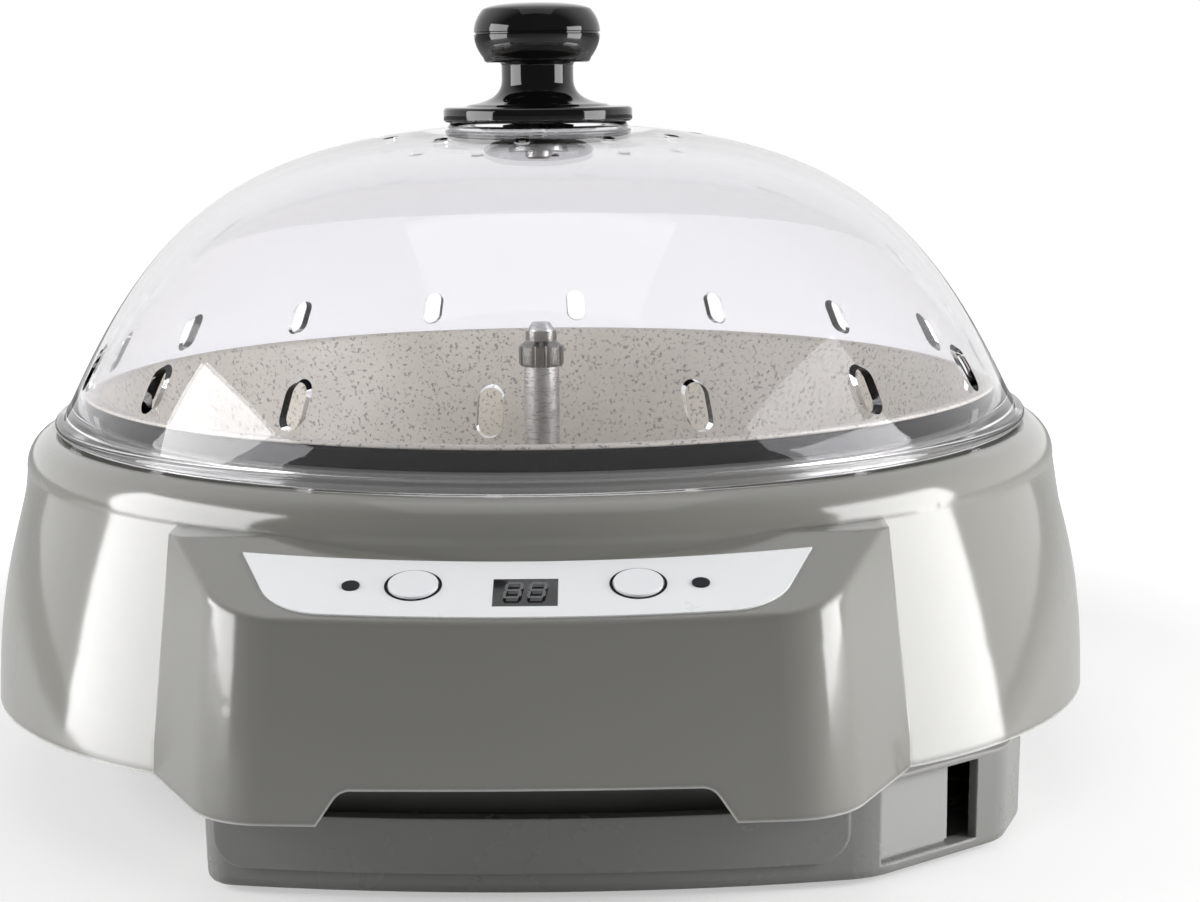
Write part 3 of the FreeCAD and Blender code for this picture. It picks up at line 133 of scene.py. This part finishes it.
def bump(tree, shader, height, strength, distance, edge=0.0):
    """Raise a height pattern on the surface, with edges rounded in shading where an edge is given."""
    node = add(tree, "ShaderNodeBump")
    if edge:
        rounded = add(tree, "ShaderNodeBevel", samples=4)
        rounded.inputs["Radius"].default_value = edge * MM
        tree.links.new(rounded.outputs["Normal"], node.inputs["Normal"])
    node.inputs["Strength"].default_value = strength
    node.inputs["Distance"].default_value = distance
    tree.links.new(height, node.inputs["Height"])
    tree.links.new(node.outputs["Normal"], shader.inputs["Normal"])


# The painted highlight along the mouldings' lower edges: how far it reaches from an edge in mm, how closely
# a rounded normal matches the true one away from an edge and on it, and the heights in metres where it ends

HIGHLIGHT_REACH = 1.4
HIGHLIGHT_MATCH = (0.86, 0.98)
HIGHLIGHT_HEIGHTS = (0.042, 0.048)


def painted_edge_highlight(tree, colour, place, light):
    """Painted highlight: lighten the colour in a thin line along sharp low edges, where a rounded edge would
    catch the light.
    """
    rounded = add(tree, "ShaderNodeBevel", samples=6)
    rounded.inputs["Radius"].default_value = HIGHLIGHT_REACH * MM
    surface = add(tree, "ShaderNodeNewGeometry")
    match = add(tree, "ShaderNodeVectorMath", operation="DOT_PRODUCT")
    tree.links.new(rounded.outputs["Normal"], match.inputs[0])
    tree.links.new(surface.outputs["Normal"], match.inputs[1])
    parts = add(tree, "ShaderNodeSeparateXYZ")
    tree.links.new(place, parts.inputs["Vector"])
    both = add(tree, "ShaderNodeMath", operation="MULTIPLY")
    tree.links.new(level(tree, match.outputs["Value"], 1.0, 0.0, *HIGHLIGHT_MATCH), both.inputs[0])
    tree.links.new(level(tree, parts.outputs["Z"], 1.0, 0.0, *HIGHLIGHT_HEIGHTS), both.inputs[1])
    mix = add(tree, "ShaderNodeMix", data_type="RGBA")
    tree.links.new(both.outputs[0], mix.inputs["Factor"])
    tree.links.new(colour, mix.inputs["A"])
    mix.inputs["B"].default_value = (*light, 1)
    return mix.outputs["Result"]


def plastic(name, colour, roughness, mottling=0.05, grain=0.0, coat=0.0, edge=0.0, shine=0.5, edge_highlight=None):
    """Moulded plastic: slight colour drift, uneven gloss, a fine moulded skin and, where given, a painted
    edge highlight.
    """
    material, tree, shader = new_material(name)
    vector = object_coordinates(tree)
    cloud = noise(tree, vector, 14.0)
    darker = tuple(c * (1 - mottling) for c in colour)
    lighter = tuple(min(1, c * (1 + mottling)) for c in colour)
    shade = ramp(tree, cloud, [(0.3, darker), (0.7, lighter)])
    # painted highlight: the colour lightens along low edges where a rounded edge would catch the light
    if edge_highlight:
        shade = painted_edge_highlight(tree, shade, vector, edge_highlight)
    tree.links.new(shade, shader.inputs["Base Color"])
    smear = noise(tree, vector, 45.0, detail=6.0)
    gloss = level(tree, smear, roughness * 0.85, roughness * 1.2, 0.3, 0.7)
    tree.links.new(gloss, shader.inputs["Roughness"])
    if grain:
        bump(tree, shader, noise(tree, vector, 900.0, detail=2.0), 0.25, grain * MM, edge)
    else:
        bump(tree, shader, noise(tree, vector, 60.0, detail=2.0), 0.04, 0.2 * MM, edge)
    shader.inputs["Coat Weight"].default_value = coat
    shader.inputs["Coat Roughness"].default_value = 0.08
    shader.inputs["Specular IOR Level"].default_value = shine
    return material


def metal(name, colour, roughness, brush=(1, 1, 1), depth=0.02):
    """Metal with turning or brushing marks stretched along one way."""
    material, tree, shader = new_material(name)
    shader.inputs["Metallic"].default_value = 1.0
    vector = object_coordinates(tree, brush)
    marks = noise(tree, vector, 320.0, detail=5.0)
    darker = tuple(c * 0.9 for c in colour)
    tree.links.new(ramp(tree, marks, [(0.3, darker), (0.7, colour)]), shader.inputs["Base Color"])
    gloss = level(tree, marks, roughness * 0.75, roughness * 1.3, 0.3, 0.7)
    tree.links.new(gloss, shader.inputs["Roughness"])
    bump(tree, shader, marks, 0.2, depth * MM)
    return material


def non_stick(name):
    """Warm grey-beige coating with darker specks of mixed size and a fine pebbled surface."""
    material, tree, shader = new_material(name)
    vector = object_coordinates(tree)
    cloud = noise(tree, vector, 30.0)
    base = ramp(tree, cloud, [(0.3, (0.63, 0.59, 0.52)), (0.7, (0.72, 0.675, 0.60))])
    specks = noise(tree, vector, 700.0, detail=3.0, roughness=0.7)
    mask = ramp(tree, specks, [(0.56, (0, 0, 0)), (0.62, (1, 1, 1))])
    mix = add(tree, "ShaderNodeMix", data_type="RGBA")
    tree.links.new(mask, mix.inputs["Factor"])
    tree.links.new(base, mix.inputs["A"])
    mix.inputs["B"].default_value = (0.30, 0.28, 0.255, 1)
    tree.links.new(mix.outputs["Result"], shader.inputs["Base Color"])
    tree.links.new(level(tree, specks, 0.34, 0.5, 0.3, 0.7), shader.inputs["Roughness"])
    bump(tree, shader, specks, 0.25, 0.08 * MM)
    return material


def clear_plastic(name):
    """Clear moulded dome: sharp reflections, a breath of lilac in the thickness, light shadows."""
    material, tree, shader = new_material(name)
    shader.inputs["Transmission Weight"].default_value = 1.0
    shader.inputs["IOR"].default_value = 1.42
    vector = object_coordinates(tree)
    haze = noise(tree, vector, 9.0)
    colour = ramp(tree, haze, [(0.3, (0.865, 0.86, 0.88)), (0.7, (0.895, 0.89, 0.91))])
    tree.links.new(colour, shader.inputs["Base Color"])
    tree.links.new(level(tree, haze, 0.0, 0.03, 0.3, 0.7), shader.inputs["Roughness"])
    ripple = noise(tree, vector, 22.0, detail=1.0)
    bump(tree, shader, ripple, 0.03, 0.3 * MM)
    clear = add(tree, "ShaderNodeBsdfTransparent")
    clear.inputs["Color"].default_value = (0.93, 0.93, 0.95, 1)
    path = add(tree, "ShaderNodeLightPath")
    lighting = highest(tree, path.outputs["Is Shadow Ray"], path.outputs["Is Diffuse Ray"])
    mix = add(tree, "ShaderNodeMixShader")
    tree.links.new(lighting, mix.inputs["Fac"])
    tree.links.new(shader.outputs["BSDF"], mix.inputs[1])
    tree.links.new(clear.outputs["BSDF"], mix.inputs[2])
    tree.links.new(mix.outputs["Shader"], tree.nodes["Material Output"].inputs["Surface"])
    return material


# One material for each slot; the fittings in the slot "brass" are nickel plated

SHELL_COLOUR = (0.200, 0.198, 0.180)
# the colours that the painted edge highlights lighten to, on the shell and on the base
SHELL_EDGE_HIGHLIGHT = (0.82, 0.82, 0.80)
BASE_COLOUR = (0.205, 0.204, 0.194)
BASE_EDGE_HIGHLIGHT = (0.34, 0.34, 0.33)

materials = {
    "shell_grey": plastic("shell_grey", SHELL_COLOUR, 0.09, mottling=0.02, coat=0.5, edge=2.5,
                          edge_highlight=SHELL_EDGE_HIGHLIGHT),
    "base_grey": plastic("base_grey", BASE_COLOUR, 0.25, mottling=0.03, grain=0.03, coat=0.2, edge=1.2,
                         edge_highlight=BASE_EDGE_HIGHLIGHT),
    # a lighter copy of the base's grey for the side vent panel, which is the same plastic: its extra
    # lightness is painted light
    "vent_painted_light_grey": plastic("vent_painted_light_grey", (0.325, 0.324, 0.314), 0.25, mottling=0.03, coat=0.2),
    "panel_white": plastic("panel_white", (0.89, 0.90, 0.915), 0.32, mottling=0.01, grain=0.02),
    "button_white": plastic("button_white", (0.87, 0.88, 0.90), 0.28, mottling=0.01),
    "display_black": plastic("display_black", (0.012, 0.012, 0.014), 0.08, mottling=0.2),
    "lamp": plastic("lamp", (0.006, 0.006, 0.010), 0.35, mottling=0.1, shine=0.15),
    "digit_grey": plastic("digit_grey", (0.11, 0.115, 0.12), 0.35, mottling=0.05),
    "dome_clear": clear_plastic("dome_clear"),
    "knob_black": plastic("knob_black", (0.004, 0.004, 0.004), 0.06, mottling=0.2),
    "brass": metal("brass", (0.30, 0.295, 0.28), 0.18, brush=(1, 1, 8)),
    "steel": metal("steel", (0.56, 0.56, 0.55), 0.30, brush=(1, 1, 8)),
    "nonstick": non_stick("nonstick"),
    "ring_black": plastic("ring_black", (0.005, 0.005, 0.005), 0.40, mottling=0.2, shine=0.08),
    "clip_grey": metal("clip_grey", (0.30, 0.30, 0.29), 0.45),
    "reflector_steel": metal("reflector_steel", (0.66, 0.66, 0.66), 0.25, brush=(1, 1, 12)),
    "heater_steel": metal("heater_steel", (0.22, 0.19, 0.17), 0.5),
    "motor_steel": metal("motor_steel", (0.5, 0.5, 0.51), 0.35, brush=(1, 1, 6)),
    "board_green": plastic("board_green", (0.02, 0.12, 0.05), 0.3, mottling=0.15),
    "rubber_black": plastic("rubber_black", (0.02, 0.02, 0.02), 0.7, mottling=0.2, grain=0.06),
}

# the side vent panel takes that lighter copy instead of its slot's base grey: painted light
PAINTED_LIGHT_FINISH = {"side_vent_panel": "vent_painted_light_grey"}

for part in frame["record"]["subparts"]:
    finish = PAINTED_LIGHT_FINISH.get(part["node"], part["material_slot"])
    node = nodes[part["node"]]
    node.data.materials.clear()
    node.data.materials.append(materials[finish])


# Mesh helpers


def link(mesh, name, material, body, slot, *replaced):
    """Make a piece from a mesh, give it its material and body, and hide the CAD parts that it stands for."""
    piece = bpy.data.objects.new(name, mesh)
    bpy.context.scene.collection.objects.link(piece)
    mesh.materials.clear()
    mesh.materials.append(materials[material])
    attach(piece, body)
    if replaced:
        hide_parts(*replaced)
    return piece


def smooth(mesh, angle=35.0):
    """Shade smooth, keeping edges sharper than an angle crisp."""
    mesh.polygons.foreach_set("use_smooth", [True] * len(mesh.polygons))
    mesh.set_sharp_from_angle(angle=math.radians(angle))


def finished(shape, name):
    """Turn a shape's faces outward and make a mesh of it."""
    bmesh.ops.recalc_face_normals(shape, faces=shape.faces)
    mesh = bpy.data.meshes.new(name)
    shape.to_mesh(mesh)
    shape.free()
    return mesh


def close_prism(shape, first, second):
    """Faces over and between two outlines with as many corners."""
    count = len(first)
    shape.faces.new(first)
    shape.faces.new(list(reversed(second)))
    for index in range(count):
        following = (index + 1) % count
        shape.faces.new((first[following], first[index], second[index], second[following]))


def spoke(angle):
    """A level unit vector at an angle."""
    return Vector((math.cos(angle), math.sin(angle), 0))


def turned(name, profile, height, segments, angle):
    """Closed profile of radius and height pairs in mm, turned round the roaster's axis."""
    shape = bmesh.new()
    rings = []
    for radius, rise in profile:
        place = AXIS + UP * (height + rise * MM)
        if radius == 0:
            rings.append([shape.verts.new(place)])
            continue
        ring = []
        for index in range(segments):
            spot = place + spoke(2 * math.pi * index / segments) * radius * MM
            ring.append(shape.verts.new(spot))
        rings.append(ring)
    for lower, upper in zip(rings, rings[1:] + rings[:1]):
        if len(lower) == 1 and len(upper) == 1:
            continue
        for index in range(segments):
            following = (index + 1) % segments
            if len(lower) == 1:
                shape.faces.new((lower[0], upper[index], upper[following]))
            elif len(upper) == 1:
                shape.faces.new((lower[index], upper[0], lower[following]))
            else:
                shape.faces.new((lower[index], upper[index], upper[following], lower[following]))
    mesh = finished(shape, name)
    smooth(mesh, angle)
    return mesh


def arc(centre, radius, start, end, steps=8):
    """Points on an arc in a profile; angles in degrees, 0 outward and 90 up."""
    points = []
    for index in range(steps + 1):
        angle = math.radians(start + (end - start) * index / steps)
        points.append((centre[0] + radius * math.cos(angle), centre[1] + radius * math.sin(angle)))
    return points


def bezier(poles, steps):
    """Points on a cubic curve with four poles."""
    points = []
    for index in range(steps + 1):
        t = index / steps
        weights = ((1 - t) ** 3, 3 * t * (1 - t) ** 2, 3 * t ** 2 * (1 - t), t ** 3)
        points.append(tuple(sum(w * pole[k] for w, pole in zip(weights, poles)) for k in (0, 1)))
    return points


def carve(mesh, cutter):
    """Take a cutter mesh out of a mesh and return the result."""
    base = bpy.data.objects.new("carve_base", mesh)
    tool = bpy.data.objects.new("carve_tool", cutter)
    for item in (base, tool):
        bpy.context.scene.collection.objects.link(item)
    modifier = base.modifiers.new("carve", "BOOLEAN")
    modifier.operation = "DIFFERENCE"
    modifier.solver = "EXACT"
    modifier.object = tool
    result = bpy.data.meshes.new_from_object(base.evaluated_get(bpy.context.evaluated_depsgraph_get()))
    bpy.data.objects.remove(base)
    bpy.data.objects.remove(tool)
    return result


# Dome lid, in mm above its foot

DOME_WALL = 3.0
DOME_RISE = 88.2
DOME_BASE_RADIUS = 144.5
DOME_FLARE = math.radians(25.0)
LIP_RADIUS = 147.5
LIP_THICK = 3.6
FOOT_INNER_RADIUS = 141.5
BOSS_RADIUS = 27.0
SCREW_HOLE_RADIUS = 2.3
SLOT_COUNT = 16
SLOT_PHASE = math.radians(-3.95)
SLOT_HEIGHT = 19.2
SLOT_HALF_WIDTH = 3.25
SLOT_HALF_STRAIGHT = 2.75
SLOT_REACH = (120, 160)
VENT_COUNT = 12
VENT_RADIUS = 2.2
VENT_RING = 48
VENT_REACH = (74, 94)


def dome_side(inset):
    """Poles of one side of the dome, moved inward by the inset."""
    outward = Vector((math.cos(DOME_FLARE), math.sin(DOME_FLARE)))
    upward = Vector((-math.sin(DOME_FLARE), math.cos(DOME_FLARE)))
    foot = Vector((DOME_BASE_RADIUS, LIP_THICK))
    crown = Vector((0, DOME_RISE))
    diagonal = Vector((1, 1)).normalized()
    side_pull = 66.0
    crown_pull = Vector((88.0, 0))
    return (
        foot - outward * inset,
        foot + upward * side_pull - (outward + diagonal).normalized() * inset,
        crown + crown_pull - Vector((0.25, 1)) * inset,
        crown - Vector((0, 1)) * inset,
    )


def slot_cutter():
    """Upright rounded slots round the skirt and a ring of small vents round the crown."""
    shape = bmesh.new()
    outline = arc((0, SLOT_HALF_STRAIGHT), SLOT_HALF_WIDTH, 0, 180, 10)
    outline += arc((0, -SLOT_HALF_STRAIGHT), SLOT_HALF_WIDTH, 180, 360, 10)
    for index in range(SLOT_COUNT):
        angle = SLOT_PHASE + 2 * math.pi * (index + 0.5) / SLOT_COUNT - math.pi / 2 + math.pi / SLOT_COUNT
        side = UP.cross(spoke(angle))
        spots = [AXIS + side * across * MM + UP * (DOME_FOOT + (SLOT_HEIGHT + rise) * MM)
                 for across, rise in outline]
        near, far = ([shape.verts.new(spot + spoke(angle) * reach * MM) for spot in spots]
                     for reach in SLOT_REACH)
        close_prism(shape, near, far)
    for index in range(VENT_COUNT):
        centre = AXIS + spoke(SLOT_PHASE + 2 * math.pi * index / VENT_COUNT) * VENT_RING * MM
        spots = [centre + Vector((x, y, 0)) * MM for x, y in arc((0, 0), VENT_RADIUS, 0, 330, 11)]
        low, high = ([shape.verts.new(spot + UP * (DOME_FOOT + reach * MM)) for spot in spots]
                     for reach in VENT_REACH)
        close_prism(shape, low, high)
    return finished(shape, "slots")


def make_dome():
    """Clear dome with an out-turned lip, slots, vents and a boss that the knob stands on."""
    outer, inner = ([spot for spot in bezier(dome_side(inset), 40) if spot[0] > BOSS_RADIUS + 1]
                    for inset in (0.0, DOME_WALL))
    half = LIP_THICK / 2
    lip = [(FOOT_INNER_RADIUS, inner[0][1]), (FOOT_INNER_RADIUS, 0.4), (FOOT_INNER_RADIUS + 0.4, 0)]
    lip += arc((LIP_RADIUS - half, half), half, -90, 90, 10)
    lip += [(DOME_BASE_RADIUS + 1.0, LIP_THICK), (DOME_BASE_RADIUS + 0.4, LIP_THICK + 0.2)]
    boss_low = DOME_RISE - 5.0
    boss_high = DOME_RISE + 0.5
    crown = [
        (BOSS_RADIUS + 0.6, outer[-1][1] + 0.2),
        (BOSS_RADIUS, DOME_RISE + 0.1),
        (BOSS_RADIUS - 0.4, boss_high),
        (SCREW_HOLE_RADIUS, boss_high),
        (SCREW_HOLE_RADIUS, boss_low),
        (BOSS_RADIUS - 4, boss_low),
        (BOSS_RADIUS - 3.4, boss_low + 0.3),
        (BOSS_RADIUS - 0.4, boss_low + 1.9),
    ]
    profile = lip + outer[1:] + crown + list(reversed(inner))[:-1]
    mesh = carve(turned("dome", profile, DOME_FOOT, segments=256, angle=30), slot_cutter())
    smooth(mesh, 30)
    link(mesh, "clear_dome", "dome_clear", "lid", "dome_clear", "dome_lid")


# Knob, in mm above the foot of its skirt

KNOB_RISE = 35.7
SKIRT_RADIUS = 27.6
SKIRT_EDGE = 1.15
NECK_RADIUS = 10.9
GRIP_RADIUS = 19.15
GRIP_FOOT = 17.0
GRIP_MIDDLE = 27.0


def make_knob():
    """Turned knob: a two-step skirt, a waisted neck and a grip with a fine groove round its middle."""
    skirt = [(0, 0), (SKIRT_RADIUS, 0)]
    skirt += arc((SKIRT_RADIUS, SKIRT_EDGE), SKIRT_EDGE, -90, 0, 5)
    skirt += arc((SKIRT_RADIUS, 4.5 - SKIRT_EDGE), SKIRT_EDGE, 0, 90, 5)
    skirt += [(22.6, 4.5), (21.9, 4.7)]
    neck = bezier([(21.0, 5.2), (14.0, 6.2), (NECK_RADIUS, 8.4), (NECK_RADIUS, 13.0)], 14)
    neck += [(NECK_RADIUS, GRIP_FOOT)]
    neck += arc((NECK_RADIUS + 0.8, GRIP_FOOT), 0.8, 180, 90, 4)
    neck += [(15.0, GRIP_FOOT + 0.8)]
    grip = arc((15.0, GRIP_FOOT + 2.0), 1.2, -90, -20, 5)
    grip += bezier([(16.4, 19.3), (18.2, 21.6), (19.1, 24.0), (GRIP_RADIUS, 26.1)], 10)
    grip += [(GRIP_RADIUS - 0.4, 26.35), (GRIP_RADIUS - 0.4, 26.75), (GRIP_RADIUS, GRIP_MIDDLE)]
    grip += bezier([(GRIP_RADIUS, GRIP_MIDDLE), (19.1, 29.4), (18.2, 31.4), (16.8, 33.2)], 10)
    grip += bezier([(16.4, 33.7), (14.2, 35.0), (9.0, 35.6), (0, KNOB_RISE)], 12)
    mesh = turned("knob", skirt + neck + grip, KNOB_FOOT, segments=128, angle=30)
    link(mesh, "black_knob", "knob_black", "lid", "knob_black", "knob")


# Pan, in mm above the inside of its floor

PAN_DEPTH = 49.5
PAN_WALL = 1.6
PAN_BORE_RADIUS = 7.0
PAN_FLOOR_RADIUS = 124.0
PAN_SIDE_RADIUS = 134.4
PAN_RIM_RADIUS = 137.5
PAN_RIM_BEAD = 0.6
PAN_CORNER = 14.0
PAN_MOUTH_CURVE = 2.2


def make_pan():
    """Dished pan with a bored floor, a leaning side and a thin rolled rim."""
    rim_low = PAN_DEPTH - 2 * PAN_RIM_BEAD
    inner_floor_radius = PAN_FLOOR_RADIUS - 1.8
    mouth = (PAN_SIDE_RADIUS - PAN_WALL + PAN_MOUTH_CURVE, PAN_DEPTH - PAN_MOUTH_CURVE)
    profile = [(PAN_BORE_RADIUS, -PAN_WALL)]
    profile += arc((PAN_FLOOR_RADIUS - PAN_CORNER, PAN_CORNER - PAN_WALL), PAN_CORNER, -90, -8, 10)
    profile += [(PAN_SIDE_RADIUS, rim_low)]
    profile += arc((PAN_RIM_RADIUS - PAN_RIM_BEAD, rim_low + PAN_RIM_BEAD), PAN_RIM_BEAD, -90, 90, 8)
    profile += arc(mouth, PAN_MOUTH_CURVE, 90, 172, 6)
    profile += arc((inner_floor_radius - PAN_CORNER, PAN_CORNER), PAN_CORNER, -8, -90, 10)
    profile += [(PAN_BORE_RADIUS, 0)]
    mesh = turned("pan", profile, PAN_FOOT + PAN_WALL * MM, segments=192, angle=40)
    link(mesh, "non_stick_pan", "nonstick", "housing", "nonstick", "roasting_pan")


# Control panel trim, in mm across and down the sloping deck and out from it

DECK_START = 155.0
DECK_HEIGHT = 84.5
DECK_SLOPE = math.radians(19.3)
PANEL_TOP = 0.4
BUTTON_ACROSS = 27.2
BUTTON_DOWN = 12.5
RING_INNER = 6.32
RING_OUTER = 7.0
RING_THICK = 0.08
DISPLAY_DOWN = 16.1
DIGIT_ACROSS = 2.9
DIGIT_WIDE = 3.6
DIGIT_TALL = 6.4
DIGIT_BAR = 0.75
DIGIT_FOOT = 1.06
DIGIT_THICK = 0.04
DIGIT_LEAN = -0.12


def on_deck(across, down, out):
    """A place on the sloping deck, lifted off it by out."""
    back = -down * math.cos(DECK_SLOPE) - out * math.sin(DECK_SLOPE)
    high = out * math.cos(DECK_SLOPE) - down * math.sin(DECK_SLOPE)
    return AXIS + Vector((across, back - DECK_START, DECK_HEIGHT + high)) * MM + Vector((0, 0, LIFT))


def make_button_rings():
    """A thin black ring on the panel round each button, just outside its gap."""
    shape = bmesh.new()
    sides = 64
    high = PANEL_TOP + RING_THICK
    section = ((RING_INNER, PANEL_TOP), (RING_OUTER, PANEL_TOP), (RING_OUTER, high), (RING_INNER, high))
    for across in (-BUTTON_ACROSS, BUTTON_ACROSS):
        rings = []
        for index in range(sides):
            x, y = spoke(2 * math.pi * index / sides).xy
            rings.append([shape.verts.new(on_deck(across + radius * x, BUTTON_DOWN + radius * y, out))
                          for radius, out in section])
        for ring, following in zip(rings, rings[1:] + rings[:1]):
            for k in range(4):
                shape.faces.new((ring[k], ring[(k + 1) % 4], following[(k + 1) % 4], following[k]))
    mesh = finished(shape, "button_rings")
    smooth(mesh)
    link(mesh, "button_rings", "ring_black", "housing", "ring_black")


def make_digits():
    """Two unlit seven-segment figures, a hair above the display's lens."""
    shape = bmesh.new()
    corners = ((-1, -1), (1, -1), (1, 1), (-1, 1))
    bars = [(0, y, DIGIT_WIDE, DIGIT_BAR) for y in (-DIGIT_TALL / 2, 0, DIGIT_TALL / 2)]
    bars += [(x, y, DIGIT_BAR, DIGIT_TALL / 2 - DIGIT_BAR)
             for x in (-DIGIT_WIDE / 2, DIGIT_WIDE / 2) for y in (-DIGIT_TALL / 4, DIGIT_TALL / 4)]
    for across in (-DIGIT_ACROSS, DIGIT_ACROSS):
        for x, y, length, height in bars:
            spots = []
            for a, b in corners:
                down = y + b * height / 2
                spots.append((across + x + a * length / 2 + DIGIT_LEAN * down, DISPLAY_DOWN + down))
            low, high = ([shape.verts.new(on_deck(*spot, out)) for spot in spots]
                         for out in (DIGIT_FOOT, DIGIT_FOOT + DIGIT_THICK))
            close_prism(shape, low, high)
    mesh = finished(shape, "display_digits")
    smooth(mesh)
    link(mesh, "display_digits", "digit_grey", "housing", "lamp")


make_dome()
make_knob()
make_pan()
make_button_rings()
make_digits()


# Camera at the photograph's angle: its place from the axis in mm, its turn to the left, its tilt below the
# level and its roll in degrees, and its lens and sensor in mm

CAMERA_PLACE = Vector((19.428, -716.605, 203.65))
CAMERA_TURN = 0.124
CAMERA_TILT = 9.34
CAMERA_ROLL = -0.551
CAMERA_LENS = 69.89
CAMERA_SENSOR = 36.0


def make_camera():
    """The scene's camera, which sees the object as the photograph does."""
    data = bpy.data.cameras.new("camera")
    data.sensor_width = CAMERA_SENSOR
    data.lens = CAMERA_LENS
    data.clip_start = 0.01
    camera = bpy.data.objects.new("camera", data)
    bpy.context.scene.collection.objects.link(camera)
    turn = Matrix.Rotation(math.radians(CAMERA_TURN), 4, "Z")
    tilt = Matrix.Rotation(math.radians(90 - CAMERA_TILT), 4, "X")
    roll = Matrix.Rotation(math.radians(CAMERA_ROLL), 4, "Z")
    place = AXIS + CAMERA_PLACE * MM + UP * LIFT
    camera.matrix_world = Matrix.Translation(place) @ turn @ tilt @ roll
    bpy.context.scene.camera = camera


make_camera()


# Studio: a softbox on each side, a fill that isn't mirrored, a soft light from above, a white surround and a
# pale floor


def softbox(name, place, target, width, height, power, mirrored=True):
    """A soft lamp; one that isn't mirrored lights the object without a reflection of its own."""
    data = bpy.data.lights.new(name, "AREA")
    data.shape = "RECTANGLE"
    data.size = width
    data.size_y = height
    data.energy = power
    light = bpy.data.objects.new(name, data)
    bpy.context.scene.collection.objects.link(light)
    light.visible_glossy = mirrored
    light.location = place
    light.rotation_euler = (target - light.location).to_track_quat("-Z", "Y").to_euler()


middle = AXIS + Vector((0, 0, 0.1))
softbox("left_softbox", (-0.66, -0.18, 0.235), middle, 0.50, 0.47, 4.8)
softbox("right_softbox", (0.66, -0.18, 0.19), middle, 0.38, 0.38, 3.2)
softbox("right_fill", (1.28, -0.32, 0.42), middle, 0.85, 1.2, 14, mirrored=False)
softbox("top_light", (0, -0.1, 1.7), middle, 1.2, 1.2, 3)


def blend(tree, factor, first, second):
    """A number between two others; each may be a plain number or a socket."""
    node = add(tree, "ShaderNodeMix", data_type="FLOAT")
    for key, value in (("Factor", factor), ("A", first), ("B", second)):
        if isinstance(value, (int, float)):
            node.inputs[key].default_value = value
        else:
            tree.links.new(value, node.inputs[key])
    return node.outputs["Result"]


def make_world(light_level, front_level):
    """White behind the object, darker in front of it where shiny surfaces mirror it, soft as a light."""
    world = bpy.data.worlds.new("studio")
    bpy.context.scene.world = world
    world.use_nodes = True
    tree = world.node_tree
    surround = tree.nodes["Background"]
    surround.inputs["Color"].default_value = (1, 1, 1, 1)
    path = add(tree, "ShaderNodeLightPath")
    source = add(tree, "ShaderNodeTexCoord")
    parts = add(tree, "ShaderNodeSeparateXYZ")
    tree.links.new(source.outputs["Generated"], parts.inputs["Vector"])
    mirrored = level(tree, parts.outputs["Y"], front_level, 1.0, -0.35, 0.25)
    seen = highest(tree, path.outputs["Is Camera Ray"], path.outputs["Is Transmission Ray"])
    shine = blend(tree, path.outputs["Is Glossy Ray"], light_level, mirrored)
    tree.links.new(blend(tree, seen, shine, 1.0), surround.inputs["Strength"])


def make_floor(glow_level):
    """Pale floor, lifted to white where it is seen, and more so away from the object's shadow."""
    mesh = bpy.data.meshes.new("floor")
    half = 6.0
    corners = [(-half, -half, 0), (half, -half, 0), (half, half, 0), (-half, half, 0)]
    mesh.from_pydata(corners, [], [(0, 1, 2, 3)])
    floor = bpy.data.objects.new("floor", mesh)
    bpy.context.scene.collection.objects.link(floor)
    material, tree, shader = new_material("floor")
    shader.inputs["Base Color"].default_value = (0.55, 0.55, 0.55, 1)
    shader.inputs["Roughness"].default_value = 0.9
    shader.inputs["Specular IOR Level"].default_value = 0.2
    path = add(tree, "ShaderNodeLightPath")
    seen = highest(tree, path.outputs["Is Camera Ray"], path.outputs["Is Transmission Ray"])
    source = add(tree, "ShaderNodeTexCoord")
    away = add(tree, "ShaderNodeVectorMath", operation="LENGTH")
    tree.links.new(source.outputs["Object"], away.inputs[0])
    lifted = level(tree, away.outputs["Value"], glow_level, 1.0, 0.25, 0.6)
    glow = add(tree, "ShaderNodeEmission")
    glossy = blend(tree, path.outputs["Is Glossy Ray"], 0.0, glow_level * 0.3)
    tree.links.new(blend(tree, seen, glossy, lifted), glow.inputs["Strength"])
    both = add(tree, "ShaderNodeAddShader")
    tree.links.new(shader.outputs["BSDF"], both.inputs[0])
    tree.links.new(glow.outputs["Emission"], both.inputs[1])
    tree.links.new(both.outputs["Shader"], tree.nodes["Material Output"].inputs["Surface"])
    mesh.materials.append(material)


make_world(light_level=0.25, front_level=0.10)
make_floor(glow_level=0.45)

bpy.context.scene.view_settings.view_transform = "Standard"
